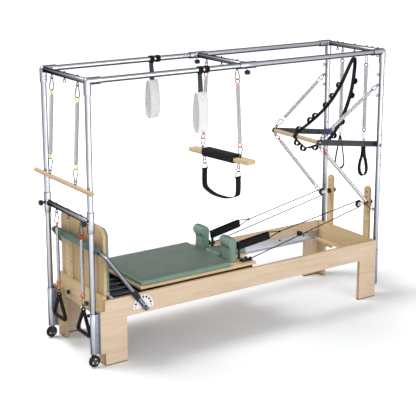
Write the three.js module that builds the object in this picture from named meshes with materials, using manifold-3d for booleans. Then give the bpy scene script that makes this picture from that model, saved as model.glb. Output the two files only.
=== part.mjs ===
// Pilates tower unit: a sliding-carriage bed inside a four-post tube tower.
// Millimetres, +Z up. X runs from the foot end to the head end, -Y is the front side.
// The shapes are worked out with x = 0 at the outer face of the foot-end board and moved
// at the end, so that the origin is the middle of the whole unit's footprint on the floor.

import * as THREE from 'three';
import { mergeVertices, mergeGeometries } from 'three/addons/utils/BufferGeometryUtils.js';
import Module from 'manifold-3d';

const wasm = await Module();
wasm.setup();

// Driving dimensions of the bed
const BED_LENGTH = 2400;
const BED_WIDTH = 695;
const BED_HEIGHT = 457;
const BOARD = 26;
const LEG_WIDTH = 166;
const APRON_BOTTOM = 316;
const LEG_BOARD_WIDTH = 100;
const EAR_DEPTH = 36;
const EAR_BOTTOM = 91;
const EAR_TOP = 386;
const END_BOARD_TOP = 477;
const HEAD_BOARD_BOTTOM = 315;
const LEDGE_THICKNESS = 27;

// Clearances shared by every fit
const GAP = 0.3;
const SLIDE_CLEARANCE = 0.8;
const OVERRUN = 5;

// Driving dimensions of the tower
const TUBE_R = 19;
const TUBE_WALL = 2;
const TUBE_SIDES = 12;
const RAIL_HEIGHT = 1922;
const POST_Y = 312;
const FOOT_POST_SETBACK = 72;
const POST_BOTTOM = 96;
const SADDLE_HEIGHT = 282;
const SADDLE_WIDTH = 66;
const SADDLE_PLATE = 5;
const SLEEVE_R = 24;
const CORNER_DROP = 88;
const CORNER_REACH = 94;

// Eyelets, wires and springs
const EYE_R = 9.5;
const EYE_WIRE_R = 3;
const EYE_SIDES = 8;
const STEM_R = 4;
const STEM_LENGTH = 10;
const WIRE_R = 3;
const HOOK_HALF_WIDTH = 14;
const COIL_R = 12;
const COIL_CURLS = 4;
const CURL_STEPS = 8;
const WIRE_SIDES = 5;

// Length of each spring's end loop, clip included, at its top and at its foot
const LEG_SPRING_TOP = 110;
const LEG_SPRING_FOOT = 82;
const ROLL_SPRING_TOP = 112;
const ROLL_SPRING_FOOT = 118;
const TRAPEZE_SPRING_TOP = 106;
const TRAPEZE_SPRING_FOOT = 96;
const PUSH_SPRING_TOP = 82;
const PUSH_SPRING_FOOT = 104;
const HEAD_SPRING_TOP = 96;
const HEAD_SPRING_FOOT = 92;

// Transport wheels
const WHEEL_R = 40.7;
const WHEEL_WIDTH = 24;
const WHEEL_SHOULDER_R = 36.6;
const WHEEL_TREAD = 14.4;
const WHEEL_Y = 317;
const AXLE_R = 5;
const FORK_PLATE = 4;
const FORK_WIDTH = 38;
const HUB_CAP_R = 10;

// Track inside the bed
const TRACK_BOTTOM = 312;
const TRACK_TOP = 376;
const TRACK_WALL = 5;
const TRACK_FLANGE = 34;
const SPRING_BAR_X = 108;
const SPRING_BAR_SIZE = 22;
const SPRING_BAR_Z = 418;
const TIE_SIZE = 20;
const TIE_SETBACK = 70;
const STOPPER_LENGTH = 26;
const STOPPER_SETBACK = 251;
const STOPPER_HEIGHT = 28;

// Carriage
const CARRIAGE_START = 300;
const CARRIAGE_LENGTH = 972;
const CARRIAGE_HALF_WIDTH = 304;
const CARRIAGE_BOTTOM = 463;
const CARRIAGE_BOARD = 19;
const TONGUE_LENGTH = 73;
const TONGUE_HALF_WIDTH = 96;
const PAD_SETBACK = 200.5;
const PAD_HEIGHT = 37;
const PAD_INSET = 1.5;
const PAD_CORNER_R = 32;
const RUNNER_LENGTH = 150;
const RUNNER_INSET = 30;
const RUNNER_THICKNESS = 16;
const RUNNER_Y = 292;
const REST_SETBACK = 157;
const REST_Y = 171;
const REST_WIDTH = 126;
const REST_THICKNESS = 72;
const REST_HEIGHT = 190;
const REST_CAP_R = 42;
const REST_BEVEL = 9;
const REST_CAP_END_DEG = 205;
const REST_PEG_R = 12;
const ROPE_POST_SETBACK = 60;
const ROPE_POST_R = 10;
const ROPE_POST_HEIGHT = 126;
const CLEAT_SETBACK = 14;
const CLEAT_Y = 238;
const CLEAT_SIZE = 30;
const HEADREST_GAP = 6;

// Carriage springs
const CARRIAGE_SPRING_COUNT = 5;
const CARRIAGE_SPRING_PITCH = 96;
const CARRIAGE_SPRING_R = 11;
const HOOK_PLATE_REACH = 340;

// Ropes, strap handles and pulleys
const ROPE_R = 3.5;
const ROPE_SIDES = 8;
const ROPE_Y = 219;
const PULLEY_SETBACK = 82;
const PULLEY_Z = 733;
const PULLEY_R = 28;
const PULLEY_WIDTH = 16;
const PULLEY_CHEEK = 3;
const PULLEY_CHEEK_HEIGHT = 19.6;
const PULLEY_CHEEK_FRONT = 19.6;
const PULLEY_CHEEK_BACK = 47.6;
const PULLEY_BRIDGE = 5.6;
const ROPE_WRAP_START_DEG = -90;
const ROPE_WRAP_END_DEG = 120;
const HANDLE_REACH = 256;
const HANDLE_START_Z = 580;
const HANDLE_BAND = 46;
const WEBBING = 4;
const KNOT_REACH = 354;
const KNOT_Z = 632;
const KNOT_R = 9;

// Risers that carry the pulleys
const RISER_WIDTH = 62;
const RISER_THICKNESS = 20;
const RISER_TOP = 862;
const RISER_BOTTOM = 250;

// Jump board
const JUMP_X = 19;
const JUMP_THICKNESS = 23;
const JUMP_PAD_THICKNESS = 30;
const JUMP_HALF_WIDTH = 304;
const JUMP_TOP = 934;
const JUMP_CORNER_R = 60;
const BATTEN_WIDTH = 92;
const BATTEN_THICKNESS = 11;
const BATTEN_Y = 170;
const BATTEN_TOP = 740;
const TONGUE_DEPTH = 70;
const TONGUE_THICKNESS = 14;

// Footbar
const FOOTBAR_X = -20;
const FOOTBAR_Z = 792;
const FOOTBAR_R = 13;
const FOOTBAR_Y = 367;
const FOOTBAR_BEND_R = 42;
const FOOTBAR_PAD_R = 25;
const FOOTBAR_PAD_HALF = 322;
const PIVOT_X = 290;
const PIVOT_Z = 372;
const ARM_TAIL = 32;
const LOCK_SLEEVE_R = 18;
const LOCK_SLEEVE_LENGTH = 54;
const LOCK_SLEEVE_START = 88;
const FAN_R = 80;
const FAN_THICKNESS = 5;
const FAN_DROP = 44;
const FAN_HOLE_RING_R = 61;
const FAN_HOLE_R = 6;
const FAN_HOLES = 6;
const FAN_HOLE_START_DEG = 20;
const FAN_HOLE_SPREAD_DEG = 140;
const PIVOT_HUB_R = 10;

// Lower crossbar with the leg springs and their handles
const LOWER_BAR_Z = 998;
const LOWER_SLEEVE_LENGTH = 140;
const LEG_SPRING_Y = 178;
const LEG_HANDLE_TOP = 372;
const LEG_HANDLE_BOTTOM = 188;
const LEG_HANDLE_HALF = 97;
const LEG_HANDLE_R = 12;

// Places of the eyelets across the end crossbars
const FOOT_EYES = [183, 0, -183];
const HEAD_EYES = [199, 138, 0, -138, -198, -260];

// Clamp knobs
const KNOB_R = 15;
const KNOB_LENGTH = 22;
const KNOB_NECK_R = 5;
const KNOB_NECK_LENGTH = 18;

// Roll-down bar
const ROLL_BAR_R = 16;
const ROLL_BAR_LENGTH = 820;
const ROLL_BAR_Z = 1214;
const ROLL_SPRING_Y = 183;

// Mid crossbar and trapeze
const MID_X = 1172;
const MID_SLEEVE_LENGTH = 140;
const TRAPEZE_TOP_Y = 189;
const TRAPEZE_BOTTOM_Y = 200;
const TRAPEZE_TURN_DEG = 8;
const TRAPEZE_Z = 1228;
const TRAPEZE_LENGTH = 635;
const TRAPEZE_BOARD_WIDTH = 62;
const TRAPEZE_BOARD_THICKNESS = 20;
const TRAPEZE_CORNER_R = 15.5;
const TRAPEZE_SLEEVE_LENGTH = 340;
const TRAPEZE_SLEEVE_WIDTH = 78;
const TRAPEZE_SLEEVE_THICKNESS = 46;
const SLING_Y = 182;
const SLING_HANG = 136;
const SLING_DROP = 178;
const SLING_BAND = 50;
const SLING_WALL = 7;

// Fleece loops on the top rails
const FLEECE_X = 785;
const WRAP_SHIFT = 12;
const FLEECE_HANG = 122;
const FLEECE_HEIGHT = 310;
const FLEECE_BAND = 84;
const FLEECE_HALF_DEPTH = 40;
const FLEECE_WALL = 13;
const FLEECE_NECK = 39;
const HANGER_WIDTH = 36;
const HANGER_WALL = 6;
const WRAP_PITCH = 60;
const WRAP_WIDTH = 26;
const WRAP_WALL = 6;

// Push-through bar
const PUSH_PIVOT_DROP = 717;
const PUSH_LENGTH = 565;
const PUSH_ANGLE_DEG = 8;
const PUSH_ARM_Y = 270;
const PUSH_ARM_WIDTH = 22;
const PUSH_ARM_DEPTH = 36;
const PUSH_ARM_TAIL = 24;
const PUSH_DOWEL_R = 16;
const PUSH_PIN_R = 7;
const PUSH_BOSS_R = 14;
const PUSH_EYE_INSET = 14;
const UPPER_EYE_DROP = 251;
const LOWER_EYE_Z = 698;
const POST_EYE_PITCH = 79;

// Head-end hanging springs and strap loops
const HEAD_SPRING_Y = 138;
const HEAD_LOOP_TOP = 1196;
const HEAD_LOOP_HEIGHT = 268;
const HEAD_LOOP_HALF = 37;
const HEAD_LOOP_BAND = 40;
const HEAD_LOOP_WALL = 5;
const HEAD_LOOP_NECK = 15;

// Long webbing strap with sewn loops
const STRAP_Y = -6;
const STRAP_BAND = 40;
const STRAP_WALL = 6;
const STRAP_HANG = 42;
const STRAP_WRAP_START_DEG = 125;
const STRAP_WRAP_END_DEG = 225;

// Values that several pieces share
const HALF = BED_WIDTH / 2;
const PANEL_INNER = HALF - BOARD;
const FOOT_POST_X = -FOOT_POST_SETBACK;
const HEAD_POST_X = BED_LENGTH + GAP + SADDLE_PLATE + TUBE_R - TUBE_WALL / 2;
const ARM_DROP = THREE.MathUtils.degToRad(PUSH_ANGLE_DEG);
const RISER_FACE = BED_LENGTH - GAP;
const CARRIAGE_TOP = CARRIAGE_BOTTOM + CARRIAGE_BOARD;
const CARRIAGE_END = CARRIAGE_START + CARRIAGE_LENGTH;
const PAD_END = CARRIAGE_END - PAD_SETBACK;
const HEADREST_X = PAD_END + HEADREST_GAP;
const REST_X = CARRIAGE_END - REST_SETBACK;
const ROPE_POST_X = CARRIAGE_END - ROPE_POST_SETBACK;
const CLEAT_X = CARRIAGE_END - CLEAT_SETBACK;
const HOOK_PLATE_X = CARRIAGE_START + HOOK_PLATE_REACH;
const PULLEY_X = BED_LENGTH - PULLEY_SETBACK;
const GROOVE_R = PULLEY_R - ROPE_R;
const PUSH_PIVOT_Z = RAIL_HEIGHT - PUSH_PIVOT_DROP;
const UPPER_EYE_Z = RAIL_HEIGHT - UPPER_EYE_DROP;
const FLEECE_TOP = RAIL_HEIGHT - FLEECE_HANG;
const SLING_TOP = TRAPEZE_Z - SLING_HANG;
const PUSH_TIP_X = HEAD_POST_X - PUSH_LENGTH * Math.cos(ARM_DROP);
const PUSH_TIP_Z = PUSH_PIVOT_Z + PUSH_LENGTH * Math.sin(ARM_DROP);
const ROLL_BAR_X = FOOT_POST_X - TUBE_R - GAP - ROLL_BAR_R;
const BAR_EYE_DROP = TUBE_R + STEM_LENGTH + EYE_R;
const TOP_EYE_Z = RAIL_HEIGHT - BAR_EYE_DROP;
const LOWER_BAR_EYE_Z = LOWER_BAR_Z - BAR_EYE_DROP;
const LEG_HANDLE_EYE_Z = LEG_HANDLE_TOP + STEM_LENGTH / 2 + EYE_R;
const ROLL_EYE_Z = ROLL_BAR_Z + ROLL_BAR_R + STEM_LENGTH / 2 + EYE_R;
const HEAD_LOOP_EYE_Z = HEAD_LOOP_TOP + STEM_LENGTH / 2 + EYE_R;
const TRAPEZE_EYE_RISE = TRAPEZE_BOARD_THICKNESS / 2 + STEM_LENGTH / 2 + EYE_R;
const PUSH_EYE_RISE = PUSH_ARM_DEPTH / 2 + STEM_LENGTH / 2 + EYE_R;
const PUSH_EYE_REACH = PUSH_LENGTH - PUSH_EYE_INSET;
const STRAP_TOP = TOP_EYE_Z - STRAP_HANG;
const POST_EYE_X = HEAD_POST_X - BAR_EYE_DROP;

// Finishes
function finish(color, roughness, metalness) {
  return new THREE.MeshStandardMaterial({ color, roughness, metalness });
}
const BIRCH = finish(0xdfc8a6, 0.55, 0);
const STEEL = finish(0xb9bdc4, 0.28, 1);
const ALUMINIUM = finish(0xa9adb5, 0.4, 1);
const VINYL = finish(0x6d8577, 0.6, 0);
const WEB = finish(0x1d1e20, 0.85, 0);
const BLACK = finish(0x202124, 0.5, 0);
const FLEECE = finish(0xf0efec, 0.95, 0);
const SPRING = finish(0x9b9d9c, 0.35, 1);
const WHITE = finish(0xeceef0, 0.4, 0);

const unit = new THREE.Group();

// Adds one named piece
function piece(name, shape, material, parent = unit) {
  const geometry = shape.isBufferGeometry ? shape : toGeometry(shape);
  const mesh = new THREE.Mesh(geometry, material);
  mesh.name = name;
  parent.add(mesh);
  return mesh;
}

// Closed geometry as a solid for joins and cuts, its points welded where they meet
const WELD_TOLERANCE = 1e-3;
function toSolid(geometry) {
  const bare = geometry.clone();
  bare.deleteAttribute('normal');
  bare.deleteAttribute('uv');
  const merged = mergeVertices(bare, WELD_TOLERANCE);
  return new wasm.Manifold(new wasm.Mesh({
    numProp: 3,
    vertProperties: new Float32Array(merged.attributes.position.array),
    triVerts: new Uint32Array(merged.index.array),
  }));
}

// Solid back to geometry
function toGeometry(solid) {
  const mesh = solid.getMesh();
  const geometry = new THREE.BufferGeometry();
  geometry.setAttribute('position', new THREE.BufferAttribute(mesh.vertProperties, 3));
  geometry.setIndex(new THREE.BufferAttribute(mesh.triVerts, 1));
  geometry.computeVertexNormals();
  return geometry;
}

const asSolid = (shape) => (shape.isBufferGeometry ? toSolid(shape) : shape);

function join(...shapes) {
  return shapes.map(asSolid).reduce((whole, next) => whole.add(next));
}

function cut(shape, ...tools) {
  return tools.map(asSolid).reduce((whole, tool) => whole.subtract(tool), asSolid(shape));
}

// Box from its low corner to its high corner
function block(x0, y0, z0, x1, y1, z1) {
  const geometry = new THREE.BoxGeometry(x1 - x0, y1 - y0, z1 - z0);
  return geometry.translate((x0 + x1) / 2, (y0 + y1) / 2, (z0 + z1) / 2);
}

// Round rod from a to b
function rod(a, b, radius, sides = TUBE_SIDES) {
  const start = new THREE.Vector3(...a);
  const end = new THREE.Vector3(...b);
  const along = end.clone().sub(start);
  const geometry = new THREE.CylinderGeometry(radius, radius, along.length(), sides);
  const turn = new THREE.Quaternion().setFromUnitVectors(
    new THREE.Vector3(0, 1, 0), along.clone().normalize());
  const middle = start.add(end).multiplyScalar(0.5);
  return geometry.applyQuaternion(turn).translate(middle.x, middle.y, middle.z);
}

// Hollow tube from a to b
function pipe(a, b, outer, inner, sides = TUBE_SIDES) {
  const start = new THREE.Vector3(...a);
  const end = new THREE.Vector3(...b);
  const half = start.distanceTo(end) / 2;
  const profile = [[inner, -half], [outer, -half], [outer, half], [inner, half], [inner, -half]];
  const geometry = new THREE.LatheGeometry(profile.map((p) => new THREE.Vector2(...p)), sides);
  const turn = new THREE.Quaternion().setFromUnitVectors(
    new THREE.Vector3(0, 1, 0), end.clone().sub(start).normalize());
  const middle = start.add(end).multiplyScalar(0.5);
  return geometry.applyQuaternion(turn).translate(middle.x, middle.y, middle.z);
}

function shapeOf(points) {
  return new THREE.Shape(points.map((p) => new THREE.Vector2(...p)));
}

// Flat outline in x and z, from y0 to y1
function plateXZ(points, y0, y1, holes = []) {
  const shape = Array.isArray(points) ? shapeOf(points) : points;
  shape.holes = holes;
  const geometry = new THREE.ExtrudeGeometry(shape, { depth: y1 - y0, bevelEnabled: false });
  return geometry.rotateX(Math.PI / 2).translate(0, y1, 0);
}

// Flat outline in y and z, from x0 to x1
function plateYZ(points, x0, x1, holes = []) {
  const shape = Array.isArray(points) ? shapeOf(points) : points;
  shape.holes = holes;
  const geometry = new THREE.ExtrudeGeometry(shape, { depth: x1 - x0, bevelEnabled: false });
  return geometry.rotateX(Math.PI / 2).rotateZ(Math.PI / 2).translate(x0, 0, 0);
}

// Flat outline in x and y, from z0 to z1
function plateXY(points, z0, z1) {
  const shape = Array.isArray(points) ? shapeOf(points) : points;
  const geometry = new THREE.ExtrudeGeometry(shape, { depth: z1 - z0, bevelEnabled: false });
  return geometry.translate(0, 0, z0);
}

// Points of an arc about a centre, in degrees
function arc(cx, cy, radius, from, to, steps) {
  const points = [];
  for (let i = 0; i <= steps; i += 1) {
    const angle = THREE.MathUtils.degToRad(from + ((to - from) * i) / steps);
    points.push([cx + radius * Math.cos(angle), cy + radius * Math.sin(angle)]);
  }
  return points;
}

// Tube of one radius through a list of points, closed at both ends
function sweep(points, radius, sides) {
  const path = points.map((p) => new THREE.Vector3(...p));
  const positions = [];
  const index = [];
  const heading = (i) => path[Math.min(i + 1, path.length - 1)].clone()
    .sub(path[Math.max(i - 1, 0)]).normalize();
  let along = heading(0);
  const lean = Math.abs(along.z) < 0.9 ? new THREE.Vector3(0, 0, 1) : new THREE.Vector3(1, 0, 0);
  let side = new THREE.Vector3().crossVectors(along, lean).normalize();
  path.forEach((centre, i) => {
    const next = heading(i);
    side.applyQuaternion(new THREE.Quaternion().setFromUnitVectors(along, next));
    along = next;
    const up = new THREE.Vector3().crossVectors(along, side);
    for (let k = 0; k < sides; k += 1) {
      const angle = (2 * Math.PI * k) / sides;
      const point = centre.clone()
        .addScaledVector(side, radius * Math.cos(angle))
        .addScaledVector(up, radius * Math.sin(angle));
      positions.push(point.x, point.y, point.z);
    }
  });
  const ring = (i, k) => i * sides + (k % sides);
  for (let i = 0; i + 1 < path.length; i += 1) {
    for (let k = 0; k < sides; k += 1) {
      index.push(ring(i, k), ring(i, k + 1), ring(i + 1, k + 1));
      index.push(ring(i, k), ring(i + 1, k + 1), ring(i + 1, k));
    }
  }
  const last = path.length - 1;
  for (let k = 1; k + 1 < sides; k += 1) {
    index.push(ring(0, 0), ring(0, k + 1), ring(0, k));
    index.push(ring(last, 0), ring(last, k), ring(last, k + 1));
  }
  const geometry = new THREE.BufferGeometry();
  geometry.setAttribute('position', new THREE.Float32BufferAttribute(positions, 3));
  geometry.setIndex(index);
  geometry.computeVertexNormals();
  return geometry;
}

// Curve that steps from point to point of a list
class PointPath extends THREE.Curve {
  constructor(points) {
    super();
    this.places = points.map((p) => new THREE.Vector3(...p));
  }

  getPointAt(t) {
    return this.places[Math.round(t * (this.places.length - 1))].clone();
  }

  getTangentAt(t) {
    const i = Math.round(t * (this.places.length - 1));
    const next = this.places[Math.min(i + 1, this.places.length - 1)];
    return next.clone().sub(this.places[Math.max(i - 1, 0)]).normalize();
  }
}

// Solid tube of one radius along a list of points
function tube(points, radius, sides) {
  const section = shapeOf(arc(0, 0, radius, 0, 360 - 360 / sides, sides - 1));
  const extrudePath = new PointPath(points);
  return new THREE.ExtrudeGeometry(section, { steps: points.length - 1, extrudePath });
}

// Path with straight runs and round bends of one radius
function bentPath(corners, bendRadius, steps) {
  const points = corners.map((p) => new THREE.Vector3(...p));
  const path = [points[0].toArray()];
  for (let i = 1; i + 1 < points.length; i += 1) {
    const back = points[i - 1].clone().sub(points[i]).normalize();
    const on = points[i + 1].clone().sub(points[i]).normalize();
    const half = back.angleTo(on) / 2;
    const reach = bendRadius / Math.tan(half);
    const from = points[i].clone().addScaledVector(back, reach);
    const to = points[i].clone().addScaledVector(on, reach);
    const curve = new THREE.QuadraticBezierCurve3(from, points[i], to);
    curve.getPoints(steps).forEach((p) => path.push(p.toArray()));
  }
  path.push(points[points.length - 1].toArray());
  return path;
}

// Ring eyelet whose hole runs along Y, with a stem up to what carries it. A flat of the ring
// faces each way a load pulls, so that a wire on it keeps clear as it swings.
function eye(x, y, z, stemTo) {
  const ring = new THREE.TorusGeometry(EYE_R, EYE_WIRE_R, 4, EYE_SIDES);
  ring.rotateZ(Math.PI / EYE_SIDES).rotateX(Math.PI / 2).translate(x, y, z);
  const from = new THREE.Vector3(x, y, z);
  const to = new THREE.Vector3(...stemTo);
  from.addScaledVector(to.clone().sub(from).normalize(), EYE_R);
  return join(ring, rod(from.toArray(), stemTo, STEM_R, 4));
}

// Where a wire lies in an eyelet's ring when the load pulls it towards a point
const EYE_SEAT = (EYE_R - EYE_WIRE_R) * Math.cos(Math.PI / EYE_SIDES) - WIRE_R - GAP;
function seat(eyeAt, towards) {
  const centre = new THREE.Vector3(...eyeAt);
  const pull = new THREE.Vector3(...towards).sub(centre).normalize();
  return centre.addScaledVector(pull, EYE_SEAT);
}

// Least distance from a wire's surface to itself, away from neighbouring points
function leastGap(points, radius) {
  const path = points.map((p) => new THREE.Vector3(...p));
  const reach = [0];
  for (let i = 1; i < path.length; i += 1) {
    reach.push(reach[i - 1] + path[i].distanceTo(path[i - 1]));
  }
  let least = Infinity;
  for (let i = 0; i < path.length; i += 1) {
    for (let j = i + 1; j < path.length; j += 1) {
      const apart = path[i].distanceTo(path[j]);
      if (reach[j] - reach[i] > 2 * Math.PI * radius) least = Math.min(least, apart);
    }
  }
  return least - 2 * radius;
}

// Open loop of wire that passes through an eyelet: places along it as shares of its
// half width, from its free end over the eyelet to the neck, where its length is added
const LOOP_TAIL_SHARES = [[-1.4, -1]];
const LOOP_HEAD_SHARES = [[0.6, -1], [0, -0.5], [0, 0.5], [0.6, 1]];
const LOOP_NECK_SHARES = [[-0.4, 0.5]];
function wireLoop(length) {
  const w = HOOK_HALF_WIDTH;
  const far = ([s, u]) => [length + s * w, u * w];
  const near = ([s, u]) => [s * w, u * w];
  return [...LOOP_TAIL_SHARES.map(far), ...LOOP_HEAD_SHARES.map(near), ...LOOP_NECK_SHARES.map(far)];
}

// Coil spring between two eyelets: an end loop, the curls, an end loop, in one wire
function springPath(eyeA, eyeB, topLoop, footLoop) {
  const start = seat(eyeA, eyeB);
  const along = seat(eyeB, eyeA).sub(start);
  const length = along.length();
  along.normalize();
  const across = new THREE.Vector3(0, 1, 0);
  across.addScaledVector(along, -along.y).normalize();
  const normal = new THREE.Vector3().crossVectors(along, across);
  const place = (s, u, v) => start.clone()
    .addScaledVector(along, s).addScaledVector(across, u).addScaledVector(normal, v).toArray();
  const points = wireLoop(topLoop).map(([s, u]) => place(s, u, 0));
  const coil = length - topLoop - footLoop;
  const steps = COIL_CURLS * CURL_STEPS;
  for (let i = 0; i <= steps; i += 1) {
    const angle = (2 * Math.PI * i) / CURL_STEPS;
    const s = topLoop + (coil * i) / steps;
    points.push(place(s, COIL_R * Math.cos(angle), COIL_R * Math.sin(angle)));
  }
  wireLoop(footLoop).reverse().forEach(([s, u]) => points.push(place(length - s, u, 0)));
  return points;
}

const springGaps = [];
function spring(name, eyeA, eyeB, topLoop, footLoop) {
  const points = springPath(eyeA, eyeB, topLoop, footLoop);
  springGaps.push(leastGap(points, WIRE_R));
  piece(name, sweep(points, WIRE_R, WIRE_SIDES), SPRING);
}

// Wire link that hangs on an eyelet and runs down to a point, as an open loop with a stem
function wireLink(eyeAt, end) {
  const start = seat(eyeAt, end);
  const along = new THREE.Vector3(...end).sub(start);
  const length = along.length();
  along.normalize();
  const across = new THREE.Vector3(0, 1, 0);
  across.addScaledVector(along, -along.y).normalize();
  const path = wireLoop(length - 2 * WIRE_R).map(([s, u]) => start.clone()
    .addScaledVector(along, s).addScaledVector(across, u).toArray());
  path.push(end);
  return tube(path, WIRE_R, WIRE_SIDES);
}

// Rounded rectangle outline
function roundedRect(x0, y0, x1, y1, radius, steps) {
  return [
    ...arc(x1 - radius, y1 - radius, radius, 0, 90, steps),
    ...arc(x0 + radius, y1 - radius, radius, 90, 180, steps),
    ...arc(x0 + radius, y0 + radius, radius, 180, 270, steps),
    ...arc(x1 - radius, y0 + radius, radius, 270, 360, steps)];
}

// Cushion: rounded outline with drawn-in sides and a crowned top.
// Each layer share gives how far in the outline lies and how high it is.
const CUSHION_LAYER_SHARES = [[0.1, 0], [0, 0.22], [0, 0.62], [0.12, 0.84], [0.42, 0.94]];
function cushion(x0, y0, x1, y1, height, radius) {
  const steps = 3;
  const positions = [];
  const index = [];
  const layers = CUSHION_LAYER_SHARES.map(([inset, rise]) => {
    const d = inset * height;
    return { rise: rise * height, ring: roundedRect(x0 + d, y0 + d, x1 - d, y1 - d, radius - d / 2, steps) };
  });
  layers.forEach(({ rise, ring }) => ring.forEach(([x, y]) => positions.push(x, y, rise)));
  const count = layers[0].ring.length;
  const top = layers.length - 1;
  const middle = positions.length / 3;
  positions.push((x0 + x1) / 2, (y0 + y1) / 2, height);
  positions.push((x0 + x1) / 2, (y0 + y1) / 2, 0);
  for (let k = 0; k < count; k += 1) {
    const n = (k + 1) % count;
    for (let i = 0; i < top; i += 1) {
      index.push(i * count + k, i * count + n, (i + 1) * count + n);
      index.push(i * count + k, (i + 1) * count + n, (i + 1) * count + k);
    }
    index.push(top * count + k, top * count + n, middle);
    index.push(n, k, middle + 1);
  }
  const geometry = new THREE.BufferGeometry();
  geometry.setAttribute('position', new THREE.Float32BufferAttribute(positions, 3));
  geometry.setIndex(index);
  geometry.computeVertexNormals();
  return geometry;
}

// Clamp knob on a neck, standing on a point and pointing along dir
function knob(x, y, z, dir) {
  const base = new THREE.Vector3(x, y, z);
  const way = new THREE.Vector3(...dir);
  const root = base.clone().addScaledVector(way, -OVERRUN).toArray();
  const neck = base.clone().addScaledVector(way, KNOB_NECK_LENGTH);
  const tip = neck.clone().addScaledVector(way, KNOB_LENGTH).toArray();
  return join(rod(root, neck.toArray(), KNOB_NECK_R, 6), rod(neck.toArray(), tip, KNOB_R, 8));
}

// Bed: side panels, end frames and the track

function sidePanel(side) {
  const outer = side * HALF;
  const inner = side * PANEL_INNER;
  const headLeg = BED_LENGTH - LEG_WIDTH;
  const outline = [
    [0, 0], [LEG_WIDTH, 0], [LEG_WIDTH, APRON_BOTTOM], [headLeg, APRON_BOTTOM], [headLeg, 0],
    [BED_LENGTH, 0], [BED_LENGTH, BED_HEIGHT], [0, BED_HEIGHT], [0, EAR_TOP], [-EAR_DEPTH, EAR_TOP],
    [-EAR_DEPTH, EAR_BOTTOM], [0, EAR_BOTTOM]];
  return plateXZ(outline, Math.min(outer, inner), Math.max(outer, inner));
}

function legBlock(side, outline) {
  const outer = side * (PANEL_INNER - GAP);
  const inner = side * (HALF - LEG_BOARD_WIDTH);
  return plateXZ(outline, Math.min(outer, inner), Math.max(outer, inner));
}

function footEndFrame() {
  const width = PANEL_INNER - GAP;
  const board = block(0, -width, APRON_BOTTOM, LEDGE_THICKNESS, width, END_BOARD_TOP);
  const leg = [[0, 0], [LEDGE_THICKNESS, 0], [LEDGE_THICKNESS, EAR_TOP], [-EAR_DEPTH, EAR_TOP],
    [-EAR_DEPTH, EAR_BOTTOM], [0, EAR_BOTTOM]];
  return join(board, legBlock(1, leg), legBlock(-1, leg));
}

function headEndFrame() {
  const width = PANEL_INNER - GAP;
  const inner = BED_LENGTH - LEDGE_THICKNESS;
  const board = block(inner, -width, HEAD_BOARD_BOTTOM, BED_LENGTH, width, BED_HEIGHT);
  const leg = [[inner, 0], [BED_LENGTH, 0], [BED_LENGTH, BED_HEIGHT], [inner, BED_HEIGHT]];
  const risers = [1, -1].map((side) => riser(side));
  return join(board, legBlock(1, leg), legBlock(-1, leg), ...risers);
}

// Riser: a board with a rounded top, screwed to the outer face of the head-end board
function riser(side) {
  const half = RISER_WIDTH / 2;
  const centre = side * ROPE_Y;
  const outline = [
    [centre - half, RISER_BOTTOM], [centre + half, RISER_BOTTOM],
    ...arc(centre, RISER_TOP - half, half, 0, 180, 10)];
  return plateYZ(outline, RISER_FACE, RISER_FACE + RISER_THICKNESS);
}

function trackRail(side) {
  const wall = side * (PANEL_INNER - GAP);
  const web = side * (PANEL_INNER - GAP - TRACK_WALL);
  const lip = side * (PANEL_INNER - GAP - TRACK_FLANGE);
  const x0 = LEDGE_THICKNESS + GAP;
  const x1 = BED_LENGTH - LEDGE_THICKNESS - GAP;
  const blade = block(x0, Math.min(wall, web), TRACK_BOTTOM, x1, Math.max(wall, web), TRACK_TOP);
  const flange = block(x0, Math.min(wall, lip), TRACK_BOTTOM,
    x1, Math.max(wall, lip), TRACK_BOTTOM + TRACK_WALL);
  const stopFace = side * (RUNNER_Y - RUNNER_THICKNESS / 2);
  const stopStarts = [
    CARRIAGE_START + RUNNER_INSET - GAP - STOPPER_LENGTH, BED_LENGTH - STOPPER_SETBACK];
  const stops = stopStarts.map((x) => block(
    x, Math.min(wall, stopFace), TRACK_TOP - TRACK_WALL,
    x + STOPPER_LENGTH, Math.max(wall, stopFace), TRACK_TOP + STOPPER_HEIGHT));
  return join(blade, flange, ...stops);
}

function trackFrame() {
  const reach = PANEL_INNER - GAP - TRACK_WALL / 2;
  const half = SPRING_BAR_SIZE / 2;
  const bar = block(SPRING_BAR_X - half, -reach, SPRING_BAR_Z - half,
    SPRING_BAR_X + half, reach, SPRING_BAR_Z + half);
  const lugs = [1, -1].map((side) => block(SPRING_BAR_X - half,
    Math.min(side * reach, side * (reach - TRACK_WALL)), TRACK_TOP - OVERRUN,
    SPRING_BAR_X + half, Math.max(side * reach, side * (reach - TRACK_WALL)), SPRING_BAR_Z));
  const tieX = BED_LENGTH - TIE_SETBACK;
  const tie = block(tieX - TIE_SIZE / 2, -reach, TRACK_BOTTOM,
    tieX + TIE_SIZE / 2, reach, TRACK_BOTTOM + TIE_SIZE);
  return join(trackRail(1), trackRail(-1), bar, tie, ...lugs);
}

// Tower: posts with their saddles, rails and welded crossbars

function post(x, side, plateFace, towards) {
  const y = side * POST_Y;
  const top = RAIL_HEIGHT - TUBE_R - GAP;
  const tube = pipe([x, y, POST_BOTTOM], [x, y, top], TUBE_R, TUBE_R - TUBE_WALL);
  const half = SADDLE_WIDTH / 2;
  const low = EAR_BOTTOM;
  const high = EAR_BOTTOM + SADDLE_HEIGHT;
  const face = plateFace - towards * GAP;
  const back = face - towards * SADDLE_PLATE;
  const plate = block(Math.min(face, back), y - half, low, Math.max(face, back), y + half, high);
  const walls = [1, -1].map((hand) => {
    const near = y + hand * (TUBE_R - TUBE_WALL / 2);
    const far = y + hand * (TUBE_R + SADDLE_PLATE);
    return block(Math.min(x, face), Math.min(near, far), low, Math.max(x, face), Math.max(near, far), high);
  });
  return join(tube, plate, ...walls);
}

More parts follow.
